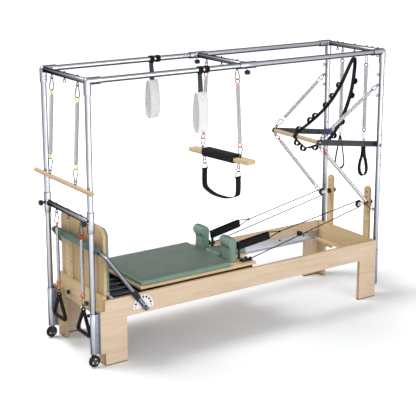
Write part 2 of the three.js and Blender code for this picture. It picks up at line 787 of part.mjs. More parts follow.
// Fork under a foot-end saddle, with the axle of a transport wheel
function wheelFork(side) {
  const inner = side * (WHEEL_Y - WHEEL_WIDTH / 2 - FORK_PLATE - 2 * GAP);
  const face = inner + side * FORK_PLATE;
  const axleX = FOOT_POST_X;
  const plate = block(axleX - FORK_WIDTH / 2, Math.min(inner, face), WHEEL_R - FORK_WIDTH / 2,
    axleX + FORK_WIDTH / 2, Math.max(inner, face), EAR_BOTTOM + TUBE_R);
  const outer = side * (WHEEL_Y + WHEEL_WIDTH / 2 + 2 * GAP);
  const axle = rod([axleX, inner, WHEEL_R], [axleX, outer, WHEEL_R], AXLE_R, 10);
  const cap = rod([axleX, outer, WHEEL_R], [axleX, outer + side * FORK_PLATE, WHEEL_R], HUB_CAP_R, 12);
  return join(plate, axle, cap);
}

function footPost(side) {
  return join(post(FOOT_POST_X, side, -EAR_DEPTH, 1), wheelFork(side));
}

function headPost(side) {
  const y = side * POST_Y;
  const heights = [
    UPPER_EYE_Z + POST_EYE_PITCH, UPPER_EYE_Z, UPPER_EYE_Z - POST_EYE_PITCH, LOWER_EYE_Z];
  const wall = TUBE_R - TUBE_WALL / 2;
  const eyes = heights.flatMap((z) => [
    eye(POST_EYE_X, y, z, [HEAD_POST_X - wall, y, z]),
    rod([HEAD_POST_X + wall, y, z], [HEAD_POST_X + TUBE_R + STEM_LENGTH, y, z], STEM_R, 4)]);
  const body = join(post(HEAD_POST_X, side, BED_LENGTH, -1), ...eyes);
  const holes = [1, -1, -2].map((n) => PUSH_PIVOT_Z + n * POST_EYE_PITCH);
  const pins = holes.map((z) => rod([HEAD_POST_X, y - TUBE_R - OVERRUN, z],
    [HEAD_POST_X, y + TUBE_R + OVERRUN, z], STEM_R, 6));
  const pivotHole = rod([HEAD_POST_X, y - TUBE_R - OVERRUN, PUSH_PIVOT_Z],
    [HEAD_POST_X, y + TUBE_R + OVERRUN, PUSH_PIVOT_Z], PUSH_PIN_R + SLIDE_CLEARANCE, 10);
  return cut(body, ...pins, pivotHole);
}

function topRail(side) {
  const y = side * POST_Y;
  const inset = TUBE_R + GAP;
  return pipe([FOOT_POST_X + inset, y, RAIL_HEIGHT], [HEAD_POST_X - inset, y, RAIL_HEIGHT],
    TUBE_R, TUBE_R - TUBE_WALL);
}

// Crossbar with a corner sleeve at each end, which holds a post's top and a rail's end
function endCrossbar(x, towards, eyePlaces) {
  const bar = rod([x, -POST_Y, RAIL_HEIGHT], [x, POST_Y, RAIL_HEIGHT], TUBE_R);
  const corners = [1, -1].flatMap((side) => [
    rod([x, side * POST_Y, RAIL_HEIGHT - CORNER_DROP], [x, side * POST_Y, RAIL_HEIGHT], SLEEVE_R),
    rod([x, side * POST_Y, RAIL_HEIGHT], [x + towards * CORNER_REACH, side * POST_Y, RAIL_HEIGHT], SLEEVE_R),
    new THREE.SphereGeometry(SLEEVE_R, 10, 6).translate(x, side * POST_Y, RAIL_HEIGHT)]);
  const bore = TUBE_R + GAP;
  const bores = [1, -1].flatMap((side) => [
    rod([x, side * POST_Y, RAIL_HEIGHT - CORNER_DROP - OVERRUN],
      [x, side * POST_Y, RAIL_HEIGHT - TUBE_R], bore),
    rod([x + towards * TUBE_R, side * POST_Y, RAIL_HEIGHT],
      [x + towards * (CORNER_REACH + OVERRUN), side * POST_Y, RAIL_HEIGHT], bore)]);
  const eyes = eyePlaces.map((y) => eye(x, y, TOP_EYE_Z, [x, y, RAIL_HEIGHT + TUBE_R + STEM_R]));
  return cut(join(bar, ...corners, ...eyes), ...bores);
}

// Crossbar with a sliding sleeve and a clamp knob on each rail or post
function midCrossbar() {
  const bore = TUBE_R + SLIDE_CLEARANCE;
  const half = MID_SLEEVE_LENGTH / 2;
  const bar = rod([MID_X, -POST_Y, RAIL_HEIGHT], [MID_X, POST_Y, RAIL_HEIGHT], TUBE_R);
  const sleeves = [1, -1].map((side) => rod([MID_X - half, side * POST_Y, RAIL_HEIGHT],
    [MID_X + half, side * POST_Y, RAIL_HEIGHT], SLEEVE_R));
  const bores = [1, -1].map((side) => rod([MID_X - half - OVERRUN, side * POST_Y, RAIL_HEIGHT],
    [MID_X + half + OVERRUN, side * POST_Y, RAIL_HEIGHT], bore));
  const knobs = [1, -1].map((side) => knob(MID_X, side * POST_Y, RAIL_HEIGHT - SLEEVE_R, [0, 0, -1]));
  const eyes = [TRAPEZE_TOP_Y, 0, -TRAPEZE_TOP_Y]
    .map((y) => eye(MID_X, y, TOP_EYE_Z, [MID_X, y, RAIL_HEIGHT + TUBE_R + STEM_R]));
  return join(cut(join(bar, ...sleeves, ...eyes), ...bores), ...knobs);
}

function lowerCrossbar() {
  const x = FOOT_POST_X;
  const bore = TUBE_R + SLIDE_CLEARANCE;
  const half = LOWER_SLEEVE_LENGTH / 2;
  const bar = rod([x, -POST_Y, LOWER_BAR_Z], [x, POST_Y, LOWER_BAR_Z], TUBE_R);
  const sleeves = [1, -1].map((side) => rod([x, side * POST_Y, LOWER_BAR_Z - half],
    [x, side * POST_Y, LOWER_BAR_Z + half], SLEEVE_R));
  const bores = [1, -1].map((side) => rod([x, side * POST_Y, LOWER_BAR_Z - half - OVERRUN],
    [x, side * POST_Y, LOWER_BAR_Z + half + OVERRUN], bore));
  const knobs = [1, -1].map((side) => knob(x - SLEEVE_R, side * POST_Y, LOWER_BAR_Z, [-1, 0, 0]));
  const eyes = [LEG_SPRING_Y, 0, -LEG_SPRING_Y]
    .map((y) => eye(x, y, LOWER_BAR_EYE_Z, [x, y, LOWER_BAR_Z + TUBE_R + STEM_R]));
  return join(cut(join(bar, ...sleeves, ...eyes), ...bores), ...knobs);
}

// Transport wheel with a bore for its axle
function wheel(side) {
  const half = WHEEL_WIDTH / 2;
  const bore = AXLE_R + SLIDE_CLEARANCE;
  const tread = WHEEL_TREAD / 2;
  const profile = [
    [bore, -half], [WHEEL_SHOULDER_R, -half], [WHEEL_R, -tread], [WHEEL_R, tread],
    [WHEEL_SHOULDER_R, half], [bore, half], [bore, -half]];
  const geometry = new THREE.LatheGeometry(profile.map((p) => new THREE.Vector2(...p)), 16);
  return geometry.translate(FOOT_POST_X, side * WHEEL_Y, WHEEL_R);
}

// Carriage: board with runners, rope posts and cleats, pads, rests and springs

function carriageBase() {
  const x0 = CARRIAGE_START;
  const x1 = CARRIAGE_END;
  const x2 = x1 + TONGUE_LENGTH;
  const outline = [
    [x0, -CARRIAGE_HALF_WIDTH], [x1, -CARRIAGE_HALF_WIDTH], [x1, -TONGUE_HALF_WIDTH],
    [x2, -TONGUE_HALF_WIDTH], [x2, TONGUE_HALF_WIDTH], [x1, TONGUE_HALF_WIDTH],
    [x1, CARRIAGE_HALF_WIDTH], [x0, CARRIAGE_HALF_WIDTH]];
  const board = plateXY(outline, CARRIAGE_BOTTOM, CARRIAGE_TOP);
  const starts = [x0 + RUNNER_INSET, x1 - RUNNER_INSET - RUNNER_LENGTH];
  const runners = [1, -1].flatMap((side) => starts.map((x) => block(
    x, side * RUNNER_Y - RUNNER_THICKNESS / 2, TRACK_BOTTOM + TRACK_WALL + GAP,
    x + RUNNER_LENGTH, side * RUNNER_Y + RUNNER_THICKNESS / 2, CARRIAGE_BOTTOM + OVERRUN)));
  const posts = [1, -1].map((side) => rod([ROPE_POST_X, side * REST_Y, CARRIAGE_TOP - OVERRUN],
    [ROPE_POST_X, side * REST_Y, CARRIAGE_TOP + ROPE_POST_HEIGHT], ROPE_POST_R, 12));
  const cleats = [1, -1].map((side) => block(
    CLEAT_X - CLEAT_SIZE / 2, side * CLEAT_Y - CLEAT_SIZE / 2, CARRIAGE_TOP - OVERRUN,
    CLEAT_X + CLEAT_SIZE / 2, side * CLEAT_Y + CLEAT_SIZE / 2, CARRIAGE_TOP + CLEAT_SIZE / 2));
  const sockets = [1, -1].map((side) => rod([REST_X, side * REST_Y, CARRIAGE_BOTTOM - OVERRUN],
    [REST_X, side * REST_Y, CARRIAGE_TOP + OVERRUN], REST_PEG_R + SLIDE_CLEARANCE, 12));
  return cut(join(board, ...runners, ...posts, ...cleats), ...sockets);
}

function carriagePad() {
  const x0 = CARRIAGE_START + PAD_INSET;
  const half = CARRIAGE_HALF_WIDTH - PAD_INSET;
  const pad = cushion(x0, -half, PAD_END, half, PAD_HEIGHT, PAD_CORNER_R);
  return pad.translate(0, 0, CARRIAGE_TOP + GAP);
}

function headrest() {
  const end = CARRIAGE_END + TONGUE_LENGTH;
  const pad = cushion(HEADREST_X, -TONGUE_HALF_WIDTH, end, TONGUE_HALF_WIDTH, PAD_HEIGHT, PAD_CORNER_R);
  return pad.translate(0, 0, CARRIAGE_TOP + GAP);
}

// Shoulder rest: a padded block whose top swells towards the foot end, on a peg
const REST_NECK_SHARE = 0.62;
function shoulderRest(side) {
  const bottom = CARRIAGE_TOP + GAP;
  const top = CARRIAGE_TOP + REST_HEIGHT;
  const back = REST_X + REST_THICKNESS / 2;
  const front = REST_X - REST_THICKNESS / 2 + (2 * REST_CAP_R - REST_THICKNESS);
  const capX = back - REST_CAP_R;
  const neck = bottom + (top - bottom) * REST_NECK_SHARE;
  const outline = [
    [front, bottom], [back, bottom], ...arc(capX, top - REST_CAP_R, REST_CAP_R, 0, REST_CAP_END_DEG, 10),
    [front, neck]];
  const shape = shapeOf(outline);
  const geometry = new THREE.ExtrudeGeometry(shape, {
    depth: REST_WIDTH - 2 * REST_BEVEL, bevelEnabled: true, bevelSegments: 1, bevelSize: REST_BEVEL,
    bevelThickness: REST_BEVEL, bevelOffset: -REST_BEVEL });
  geometry.rotateX(Math.PI / 2).translate(0, side * REST_Y + REST_WIDTH / 2 - REST_BEVEL, 0);
  const peg = rod([REST_X, side * REST_Y, CARRIAGE_BOTTOM + GAP],
    [REST_X, side * REST_Y, bottom + OVERRUN], REST_PEG_R, 12);
  return join(geometry, peg);
}

// Five springs on the spring bar, held together by the hook plate under the carriage
function carriageSprings() {
  const start = SPRING_BAR_X + SPRING_BAR_SIZE / 2 + GAP;
  const half = ((CARRIAGE_SPRING_COUNT - 1) / 2) * CARRIAGE_SPRING_PITCH;
  const springs = [];
  for (let i = 0; i < CARRIAGE_SPRING_COUNT; i += 1) {
    const y = i * CARRIAGE_SPRING_PITCH - half;
    springs.push(rod([start, y, SPRING_BAR_Z], [HOOK_PLATE_X, y, SPRING_BAR_Z], CARRIAGE_SPRING_R, 8));
  }
  const plate = block(
    HOOK_PLATE_X - OVERRUN, -half - SPRING_BAR_SIZE, SPRING_BAR_Z - SPRING_BAR_SIZE / 2,
    HOOK_PLATE_X + OVERRUN, half + SPRING_BAR_SIZE, CARRIAGE_BOTTOM - GAP);
  return join(...springs, plate);
}

// Ropes, strap handles and pulleys

// Rope route: from the cleat under the pulley's sheave, round it and back to the handle's knot
function ropeRoute(side) {
  const y = side * ROPE_Y;
  const reach = GROOVE_R + ROPE_R + 2 * GAP;
  const wrap = arc(PULLEY_X, PULLEY_Z, reach, ROPE_WRAP_START_DEG, ROPE_WRAP_END_DEG, 7);
  return [
    [CLEAT_X + CLEAT_SIZE / 2 + ROPE_R / 4 + GAP, side * CLEAT_Y, CARRIAGE_TOP + CLEAT_SIZE / 4],
    ...wrap.map(([x, z]) => [x, y, z]),
    [ROPE_POST_X + KNOT_REACH + KNOT_R + GAP, side * (ROPE_Y + REST_Y) / 2, KNOT_Z]];
}

function rope(side) {
  return tube(ropeRoute(side), ROPE_R, ROPE_SIDES);
}

// Strap handle: a webbing loop round the rope post, with cords to a knot
function ropeHandle(side) {
  const y = side * REST_Y;
  const aside = side * (ROPE_Y - REST_Y) / 2;
  const run = Math.hypot(KNOT_REACH, aside);
  const slope = Math.atan2(KNOT_Z - HANDLE_START_Z, run);
  const inner = ROPE_POST_R + (HANDLE_BAND / 2) * Math.sin(slope) + 2 * GAP;
  const length = HANDLE_REACH / Math.cos(slope);
  const outline = (half, tip) => shapeOf([
    [tip, -half], [tip, half], ...arc(0, 0, half, 90, 270, 6)]);
  const band = outline(inner + WEBBING, length);
  band.holes = [outline(inner, length - WEBBING)];
  const loop = new THREE.ExtrudeGeometry(band, { depth: HANDLE_BAND, bevelEnabled: false });
  loop.translate(0, 0, -HANDLE_BAND / 2);
  const knotAt = [run / Math.cos(slope), 0, 0];
  const cords = [1, -1].map((hand) => rod(
    [length - WEBBING, 0, hand * (HANDLE_BAND / 2 - ROPE_R)], knotAt, ROPE_R, 6));
  const knot = new THREE.SphereGeometry(KNOT_R, 8, 5).translate(...knotAt);
  const twist = Math.atan2(aside, KNOT_REACH);
  const whole = toGeometry(join(loop, ...cords, knot));
  return whole.rotateY(-slope).rotateZ(twist).translate(ROPE_POST_X, y, HANDLE_START_Z);
}

// Pulley block: sheave between two cheeks, with its bolt through the riser and a knob behind
function pulley(side) {
  const y = side * ROPE_Y;
  const half = PULLEY_WIDTH / 2;
  const slot = ROPE_R + GAP;
  const profile = [[0, -half], [PULLEY_R, -half], [PULLEY_R, -slot], [GROOVE_R, -slot], [GROOVE_R, slot],
    [PULLEY_R, slot], [PULLEY_R, half], [0, half]];
  const sheave = new THREE.LatheGeometry(profile.map((p) => new THREE.Vector2(...p)), 12)
    .translate(PULLEY_X, y, PULLEY_Z);
  const low = PULLEY_Z - PULLEY_CHEEK_HEIGHT / 2;
  const high = PULLEY_Z + PULLEY_CHEEK_HEIGHT / 2;
  const back = PULLEY_X + PULLEY_CHEEK_BACK;
  const reach = RISER_FACE - GAP;
  const cheeks = [1, -1].map((hand) => {
    const near = y + hand * (half - GAP);
    const far = near + hand * PULLEY_CHEEK;
    return block(PULLEY_X - PULLEY_CHEEK_FRONT, Math.min(near, far), low, back, Math.max(near, far), high);
  });
  const bridge = block(
    back - PULLEY_BRIDGE, y - half - PULLEY_CHEEK, low, back, y + half + PULLEY_CHEEK, high);
  const bolt = rod([back - PULLEY_BRIDGE / 2, y, PULLEY_Z], [reach, y, PULLEY_Z], KNOB_NECK_R, 8);
  const washer = rod([reach - KNOB_LENGTH / 2, y, PULLEY_Z], [reach, y, PULLEY_Z], KNOB_R, 10);
  return join(sheave, ...cheeks, bridge, bolt, washer);
}

// Jump board, its pad and the footbar

function jumpOutline(drop) {
  const half = JUMP_HALF_WIDTH;
  const r = JUMP_CORNER_R;
  return [
    [-half, END_BOARD_TOP + drop], [half, END_BOARD_TOP + drop],
    ...arc(half - r, JUMP_TOP - r, r, 0, 90, 6), ...arc(-half + r, JUMP_TOP - r, r, 90, 180, 6)];
}

function jumpBoard() {
  const board = plateYZ(jumpOutline(GAP), JUMP_X, JUMP_X + JUMP_THICKNESS);
  const battens = [1, -1].map((side) => block(
    JUMP_X - BATTEN_THICKNESS, side * BATTEN_Y - BATTEN_WIDTH / 2, END_BOARD_TOP + GAP,
    JUMP_X + OVERRUN, side * BATTEN_Y + BATTEN_WIDTH / 2, BATTEN_TOP));
  const x0 = LEDGE_THICKNESS + GAP;
  const tongues = [1, -1].map((side) => block(
    x0, side * BATTEN_Y - BATTEN_WIDTH / 2, END_BOARD_TOP - TONGUE_DEPTH,
    x0 + TONGUE_THICKNESS, side * BATTEN_Y + BATTEN_WIDTH / 2, END_BOARD_TOP + OVERRUN));
  return join(board, ...battens, ...tongues);
}

function jumpPad() {
  const low = END_BOARD_TOP + OVERRUN;
  const half = JUMP_HALF_WIDTH;
  const pad = cushion(-JUMP_TOP, -half, -low, half, JUMP_PAD_THICKNESS, JUMP_CORNER_R);
  return pad.rotateY(Math.PI / 2).translate(JUMP_X + JUMP_THICKNESS + GAP, 0, 0);
}

function footbar() {
  const away = new THREE.Vector3(PIVOT_X - FOOTBAR_X, 0, PIVOT_Z - FOOTBAR_Z).normalize();
  const tail = [PIVOT_X + away.x * ARM_TAIL, PIVOT_Z + away.z * ARM_TAIL];
  const path = bentPath([
    [tail[0], -FOOTBAR_Y, tail[1]], [FOOTBAR_X, -FOOTBAR_Y, FOOTBAR_Z],
    [FOOTBAR_X, FOOTBAR_Y, FOOTBAR_Z], [tail[0], FOOTBAR_Y, tail[1]]], FOOTBAR_BEND_R, 5);
  const bar = tube(path, FOOTBAR_R, 8);
  const along = (d) => [PIVOT_X - away.x * d, PIVOT_Z - away.z * d];
  const sleeves = [1, -1].map((side) => {
    const a = along(LOCK_SLEEVE_START);
    const b = along(LOCK_SLEEVE_START + LOCK_SLEEVE_LENGTH);
    return rod([a[0], side * FOOTBAR_Y, a[1]], [b[0], side * FOOTBAR_Y, b[1]], LOCK_SLEEVE_R, 8);
  });
  const fanFace = HALF + GAP + FAN_THICKNESS;
  const pins = [1, -1].map((side) => rod([PIVOT_X, side * FOOTBAR_Y, PIVOT_Z],
    [PIVOT_X, side * (fanFace + GAP), PIVOT_Z], PIVOT_HUB_R, 8));
  return join(bar, ...sleeves, ...pins);
}

function footbarPad() {
  return pipe([FOOTBAR_X, -FOOTBAR_PAD_HALF, FOOTBAR_Z], [FOOTBAR_X, FOOTBAR_PAD_HALF, FOOTBAR_Z],
    FOOTBAR_PAD_R, FOOTBAR_R + GAP, 16);
}

// Footbar fan plate with its ring of lock holes
function fanPlate(side) {
  const near = side * (HALF + GAP);
  const far = side * (HALF + GAP + FAN_THICKNESS);
  const low = Math.asin(FAN_DROP / FAN_R) * THREE.MathUtils.RAD2DEG;
  const outline = arc(PIVOT_X, PIVOT_Z, FAN_R, -low, 180 + low, 14);
  const plate = plateXZ(outline, Math.min(near, far), Math.max(near, far));
  const holes = [];
  for (let i = 0; i < FAN_HOLES; i += 1) {
    const turn = FAN_HOLE_START_DEG + (FAN_HOLE_SPREAD_DEG * i) / (FAN_HOLES - 1);
    const angle = THREE.MathUtils.degToRad(turn);
    const x = PIVOT_X + FAN_HOLE_RING_R * Math.cos(angle);
    const z = PIVOT_Z + FAN_HOLE_RING_R * Math.sin(angle);
    holes.push(rod([x, near - side * OVERRUN, z], [x, far + side * OVERRUN, z], FAN_HOLE_R, 6));
  }
  return cut(plate, ...holes);
}

// Leg handle: a padded triangle below a leg spring, its hole inset by shares of its tube
const HANDLE_HOLE_SHARES = [2.4, 1, 0.9];
function legHandle(side) {
  const y = side * LEG_SPRING_Y;
  const x = FOOT_POST_X;
  const r = LEG_HANDLE_R;
  const corner = (cy, cz, from, to) => arc(cy, cz, r, from, to, 3);
  const top = LEG_HANDLE_TOP - r;
  const low = LEG_HANDLE_BOTTOM + r;
  const half = LEG_HANDLE_HALF - r;
  const slope = Math.atan2(half, top - low) * THREE.MathUtils.RAD2DEG;
  const outline = shapeOf([
    ...corner(y, top, slope, 180 - slope),
    ...corner(y - half, low, 180 - slope, 270),
    ...corner(y + half, low, 270, 360 + slope)]);
  const [peakShare, footShare, sideShare] = HANDLE_HOLE_SHARES;
  const hole = shapeOf([
    [y, top - r * peakShare], [y - half + r * sideShare, low + r * footShare],
    [y + half - r * sideShare, low + r * footShare]]);
  return join(plateYZ(outline, x - r, x + r, [hole]), eye(x, y, LEG_HANDLE_EYE_Z, [x, y, top]));
}

// Round roll-down bar with two eyelets
function rollDownBar() {
  const half = ROLL_BAR_LENGTH / 2;
  const bar = rod([ROLL_BAR_X, -half, ROLL_BAR_Z], [ROLL_BAR_X, half, ROLL_BAR_Z], ROLL_BAR_R, 16);
  const eyes = [1, -1].map((side) => eye(ROLL_BAR_X, side * ROLL_SPRING_Y, ROLL_EYE_Z,
    [ROLL_BAR_X, side * ROLL_SPRING_Y, ROLL_BAR_Z]));
  return join(bar, ...eyes);
}

// Trapeze, drawn in its own frame below the mid crossbar and turned about the vertical

// Wooden board with a padded sleeve, and eyelets above and below it
function trapezeBar() {
  const half = TRAPEZE_LENGTH / 2;
  const wide = TRAPEZE_BOARD_WIDTH / 2;
  const thick = TRAPEZE_BOARD_THICKNESS / 2;
  const board = plateXY(roundedRect(-wide, -half, wide, half, TRAPEZE_CORNER_R, 3), -thick, thick);
  const deep = TRAPEZE_SLEEVE_THICKNESS / 2;
  const reach = TRAPEZE_SLEEVE_WIDTH / 2;
  const outline = roundedRect(-reach, -deep, reach, deep, deep - GAP, 4);
  const sleeve = plateXZ(outline, -TRAPEZE_SLEEVE_LENGTH / 2, TRAPEZE_SLEEVE_LENGTH / 2);
  const tops = [1, -1].map((side) => eye(0, side * TRAPEZE_BOTTOM_Y, TRAPEZE_EYE_RISE,
    [0, side * TRAPEZE_BOTTOM_Y, 0]));
  const feet = [1, -1].map((side) => eye(0, side * SLING_Y, -TRAPEZE_EYE_RISE, [0, side * SLING_Y, 0]));
  return join(board, sleeve, ...tops, ...feet).translate(0, 0, TRAPEZE_Z);
}

// Foot sling: a padded band that hangs in a U from two wire links.
// Each share pair is a place across the sling's half width and down its drop.
const SLING_SHARES = [[1, 0], [0.94, 0.45], [0.8, 0.75], [0.52, 0.93], [0, 1]];
function trapezeSling() {
  const side = (half, drop, hand) => SLING_SHARES.map(([u, v]) => [hand * half * u, SLING_TOP - drop * v]);
  const outer = [...side(SLING_Y, SLING_DROP, -1), ...side(SLING_Y, SLING_DROP, 1).reverse().slice(1)];
  const inner = [
    ...side(SLING_Y - SLING_WALL, SLING_DROP - SLING_WALL, 1),
    ...side(SLING_Y - SLING_WALL, SLING_DROP - SLING_WALL, -1).reverse().slice(1)];
  const band = plateYZ([...outer, ...inner], -SLING_BAND / 2, SLING_BAND / 2);
  const links = [1, -1].map((hand) => wireLink(
    [0, hand * SLING_Y, TRAPEZE_Z - TRAPEZE_EYE_RISE],
    [0, hand * (SLING_Y - SLING_WALL / 2), SLING_TOP - SLING_WALL]));
  return join(band, ...links);
}

// Fleece loop on a webbing hanger, with two wraps round a top rail. The flats of their bore
// clear the corners of the tube's sides as the loop swings.
// Each share pair is a place across the loop's half depth and up its height.
const FLEECE_SHARES = [[0, 0], [0.5, 0.04], [0.88, 0.17], [1, 0.38], [0.86, 0.62], [0.5, 0.86], [0.16, 1]];
function fleeceLoop(side) {
  const y = side * POST_Y;
  const outline = (half, low, high) => shapeOf([
    ...FLEECE_SHARES.map(([u, v]) => [y + half * u, low + (high - low) * v]),
    ...FLEECE_SHARES.slice(1).reverse().map(([u, v]) => [y - half * u, low + (high - low) * v])]);
  const low = FLEECE_TOP - FLEECE_HEIGHT;
  const hole = outline(FLEECE_HALF_DEPTH - FLEECE_WALL, low + FLEECE_WALL, FLEECE_TOP - FLEECE_NECK);
  const loop = plateYZ(outline(FLEECE_HALF_DEPTH, low, FLEECE_TOP),
    FLEECE_X - FLEECE_BAND / 2, FLEECE_X + FLEECE_BAND / 2, [hole]);
  const bore = TUBE_R / Math.cos(Math.PI / TUBE_SIDES) + GAP;
  const wraps = [1, -1].map((hand) => {
    const x = FLEECE_X + WRAP_SHIFT + (hand * WRAP_PITCH) / 2;
    return pipe([x - WRAP_WIDTH / 2, y, RAIL_HEIGHT], [x + WRAP_WIDTH / 2, y, RAIL_HEIGHT],
      bore + WRAP_WALL, bore);
  });
  const reach = (WRAP_PITCH + WRAP_WIDTH) / 2;
  const start = FLEECE_X + WRAP_SHIFT - reach;
  const end = FLEECE_X + WRAP_SHIFT + reach;
  const under = RAIL_HEIGHT - bore - WRAP_WALL / 2;
  const narrow = under - HANGER_WIDTH;
  const half = HANGER_WIDTH / 2;
  const hanger = plateXZ([
    [start, under], [start, under - WRAP_WALL], [FLEECE_X - half, narrow],
    [FLEECE_X - half, FLEECE_TOP - FLEECE_WALL], [FLEECE_X + half, FLEECE_TOP - FLEECE_WALL],
    [FLEECE_X + half, narrow], [end, under - WRAP_WALL], [end, under]],
  y - HANGER_WALL / 2, y + HANGER_WALL / 2);
  return join(loop, hanger, ...wraps);
}

// Push-through bar, drawn level from its pivot towards the foot end and then raised

function pushArm(side) {
  const deep = PUSH_ARM_DEPTH / 2;
  const inner = side * (PUSH_ARM_Y - PUSH_ARM_WIDTH / 2);
  const outer = side * (PUSH_ARM_Y + PUSH_ARM_WIDTH / 2);
  const tip = -PUSH_LENGTH;
  const outline = [
    [PUSH_ARM_TAIL, -deep], [PUSH_ARM_TAIL, deep],
    ...arc(tip, 0, deep, 90, 270, 8)];
  const bar = plateXZ(outline, Math.min(inner, outer), Math.max(inner, outer));
  const post = side * POST_Y;
  const root = outer - side * OVERRUN;
  const pin = rod([0, root, 0], [0, post + side * (TUBE_R + STEM_LENGTH), 0], PUSH_PIN_R, 12);
  const boss = rod([0, root, 0], [0, post - side * (TUBE_R + GAP), 0], PUSH_BOSS_R, 14);
  const y = side * PUSH_ARM_Y;
  const eyes = [1, -1].map((hand) => eye(-PUSH_EYE_REACH, y, hand * PUSH_EYE_RISE, [-PUSH_EYE_REACH, y, 0]));
  return join(bar, pin, boss, ...eyes);
}

function pushDowel() {
  const half = PUSH_ARM_Y - PUSH_ARM_WIDTH / 2 - GAP;
  return rod([-PUSH_LENGTH, -half, 0], [-PUSH_LENGTH, half, 0], PUSH_DOWEL_R, 16);
}

// Where a point of the level push-through bar is once it is raised
function raised(x, y, z) {
  return [
    HEAD_POST_X + x * Math.cos(ARM_DROP) + z * Math.sin(ARM_DROP), y,
    PUSH_PIVOT_Z - x * Math.sin(ARM_DROP) + z * Math.cos(ARM_DROP)];
}

// Webbing hand loop with an eyelet at its top
const HEAD_LOOP_SHARES = [[0, 0], [0.55, 0.03], [0.9, 0.13], [1, 0.3], [0.9, 0.6], [0.5, 0.88], [0.2, 1]];
function headLoop(side) {
  const x = HEAD_POST_X;
  const y = side * HEAD_SPRING_Y;
  const low = HEAD_LOOP_TOP - HEAD_LOOP_HEIGHT;
  const outline = (half, foot, top) => shapeOf([
    ...HEAD_LOOP_SHARES.map(([u, v]) => [y + half * u, foot + (top - foot) * v]),
    ...HEAD_LOOP_SHARES.slice(1).reverse().map(([u, v]) => [y - half * u, foot + (top - foot) * v])]);
  const hole = outline(HEAD_LOOP_HALF - HEAD_LOOP_WALL, low + HEAD_LOOP_WALL, HEAD_LOOP_TOP - HEAD_LOOP_NECK);
  const loop = plateYZ(outline(HEAD_LOOP_HALF, low, HEAD_LOOP_TOP),
    x - HEAD_LOOP_BAND / 2, x + HEAD_LOOP_BAND / 2, [hole]);
  return join(loop, eye(x, y, HEAD_LOOP_EYE_Z, [x, y, HEAD_LOOP_TOP - HEAD_LOOP_WALL]));
}

// Long strap that hangs in a loop from the head crossbar round the push-through dowel.
// Each share pair is a place towards the foot end and below the strap's top, as shares of
// the push-through bar's length and of the strap's height above that bar's pivot.
const STRAP_DOWN_SHARES = [[0.01, 0], [0.25, 0.33], [0.48, 0.56], [0.75, 0.72], [0.92, 0.8]];
const STRAP_BACK_SHARES = [
  [0.83, 1.03], [0.64, 1.02], [0.48, 1.01], [0.3, 0.86], [0.15, 0.65], [0.03, 0.35]];
function loopStrap() {
  const place = ([u, v]) => [
    HEAD_POST_X - PUSH_LENGTH * u, STRAP_TOP - (STRAP_TOP - PUSH_PIVOT_Z) * v];
  const [dowelX, , dowelZ] = raised(-PUSH_LENGTH, 0, 0);
  const reach = PUSH_DOWEL_R + STRAP_WALL / 2 + SLIDE_CLEARANCE;
  const round = arc(dowelX, dowelZ, reach, STRAP_WRAP_START_DEG, STRAP_WRAP_END_DEG, 4);
  const route = [...STRAP_DOWN_SHARES.map(place), ...round, ...STRAP_BACK_SHARES.map(place)]
    .map((point) => new THREE.Vector2(...point));
  const count = route.length;
  const edge = (shift) => new THREE.Shape(route.map((point, i) => {
    const on = route[(i + 1) % count].clone().sub(route[(i + count - 1) % count]).normalize();
    return point.clone().add(new THREE.Vector2(-on.y, on.x).multiplyScalar(shift));
  }));
  const inner = edge(STRAP_WALL / 2);
  const outer = edge(-STRAP_WALL / 2);
  const band = plateXZ(outer, STRAP_Y - STRAP_BAND / 2, STRAP_Y + STRAP_BAND / 2, [inner]);
  const link = wireLink([HEAD_POST_X, 0, TOP_EYE_Z], [HEAD_POST_X - STRAP_WALL, 0, STRAP_TOP - STRAP_WALL]);
  return join(band, link);
}

// Assembly

const sides = [[-1, 'front'], [1, 'back']];
sides.forEach(([side, word]) => piece(`side_panel_${word}`, sidePanel(side), BIRCH));
piece('foot_end_frame', footEndFrame(), BIRCH);
piece('head_end_frame', headEndFrame(), BIRCH);
piece('track_frame', trackFrame(), ALUMINIUM);
sides.forEach(([side, word]) => {
  piece(`post_foot_${word}`, footPost(side), STEEL);
  piece(`post_head_${word}`, headPost(side), STEEL);
  piece(`top_rail_${word}`, topRail(side), STEEL);
  piece(`wheel_${word}`, wheel(side), BLACK);
});
piece('foot_crossbar', endCrossbar(FOOT_POST_X, 1, FOOT_EYES), STEEL);
piece('head_crossbar', endCrossbar(HEAD_POST_X, -1, HEAD_EYES), STEEL);
piece('mid_crossbar', midCrossbar(), STEEL);
piece('lower_crossbar', lowerCrossbar(), STEEL);

piece('carriage_base', carriageBase(), BIRCH);
piece('carriage_pad', carriagePad(), VINYL);
piece('headrest', headrest(), VINYL);
piece('carriage_springs', carriageSprings(), SPRING);
sides.forEach(([side, word]) => {
  piece(`shoulder_rest_${word}`, shoulderRest(side), VINYL);
  piece(`rope_${word}`, rope(side), WEB);
  piece(`rope_handle_${word}`, ropeHandle(side), WEB);
  piece(`pulley_${word}`, pulley(side), BLACK);
});

piece('footbar', footbar(), STEEL);
piece('footbar_pad', footbarPad(), VINYL);
piece('jump_board', jumpBoard(), BIRCH);
piece('jump_pad', jumpPad(), VINYL);
sides.forEach(([side, word]) => piece(`footbar_plate_${word}`, fanPlate(side), WHITE));

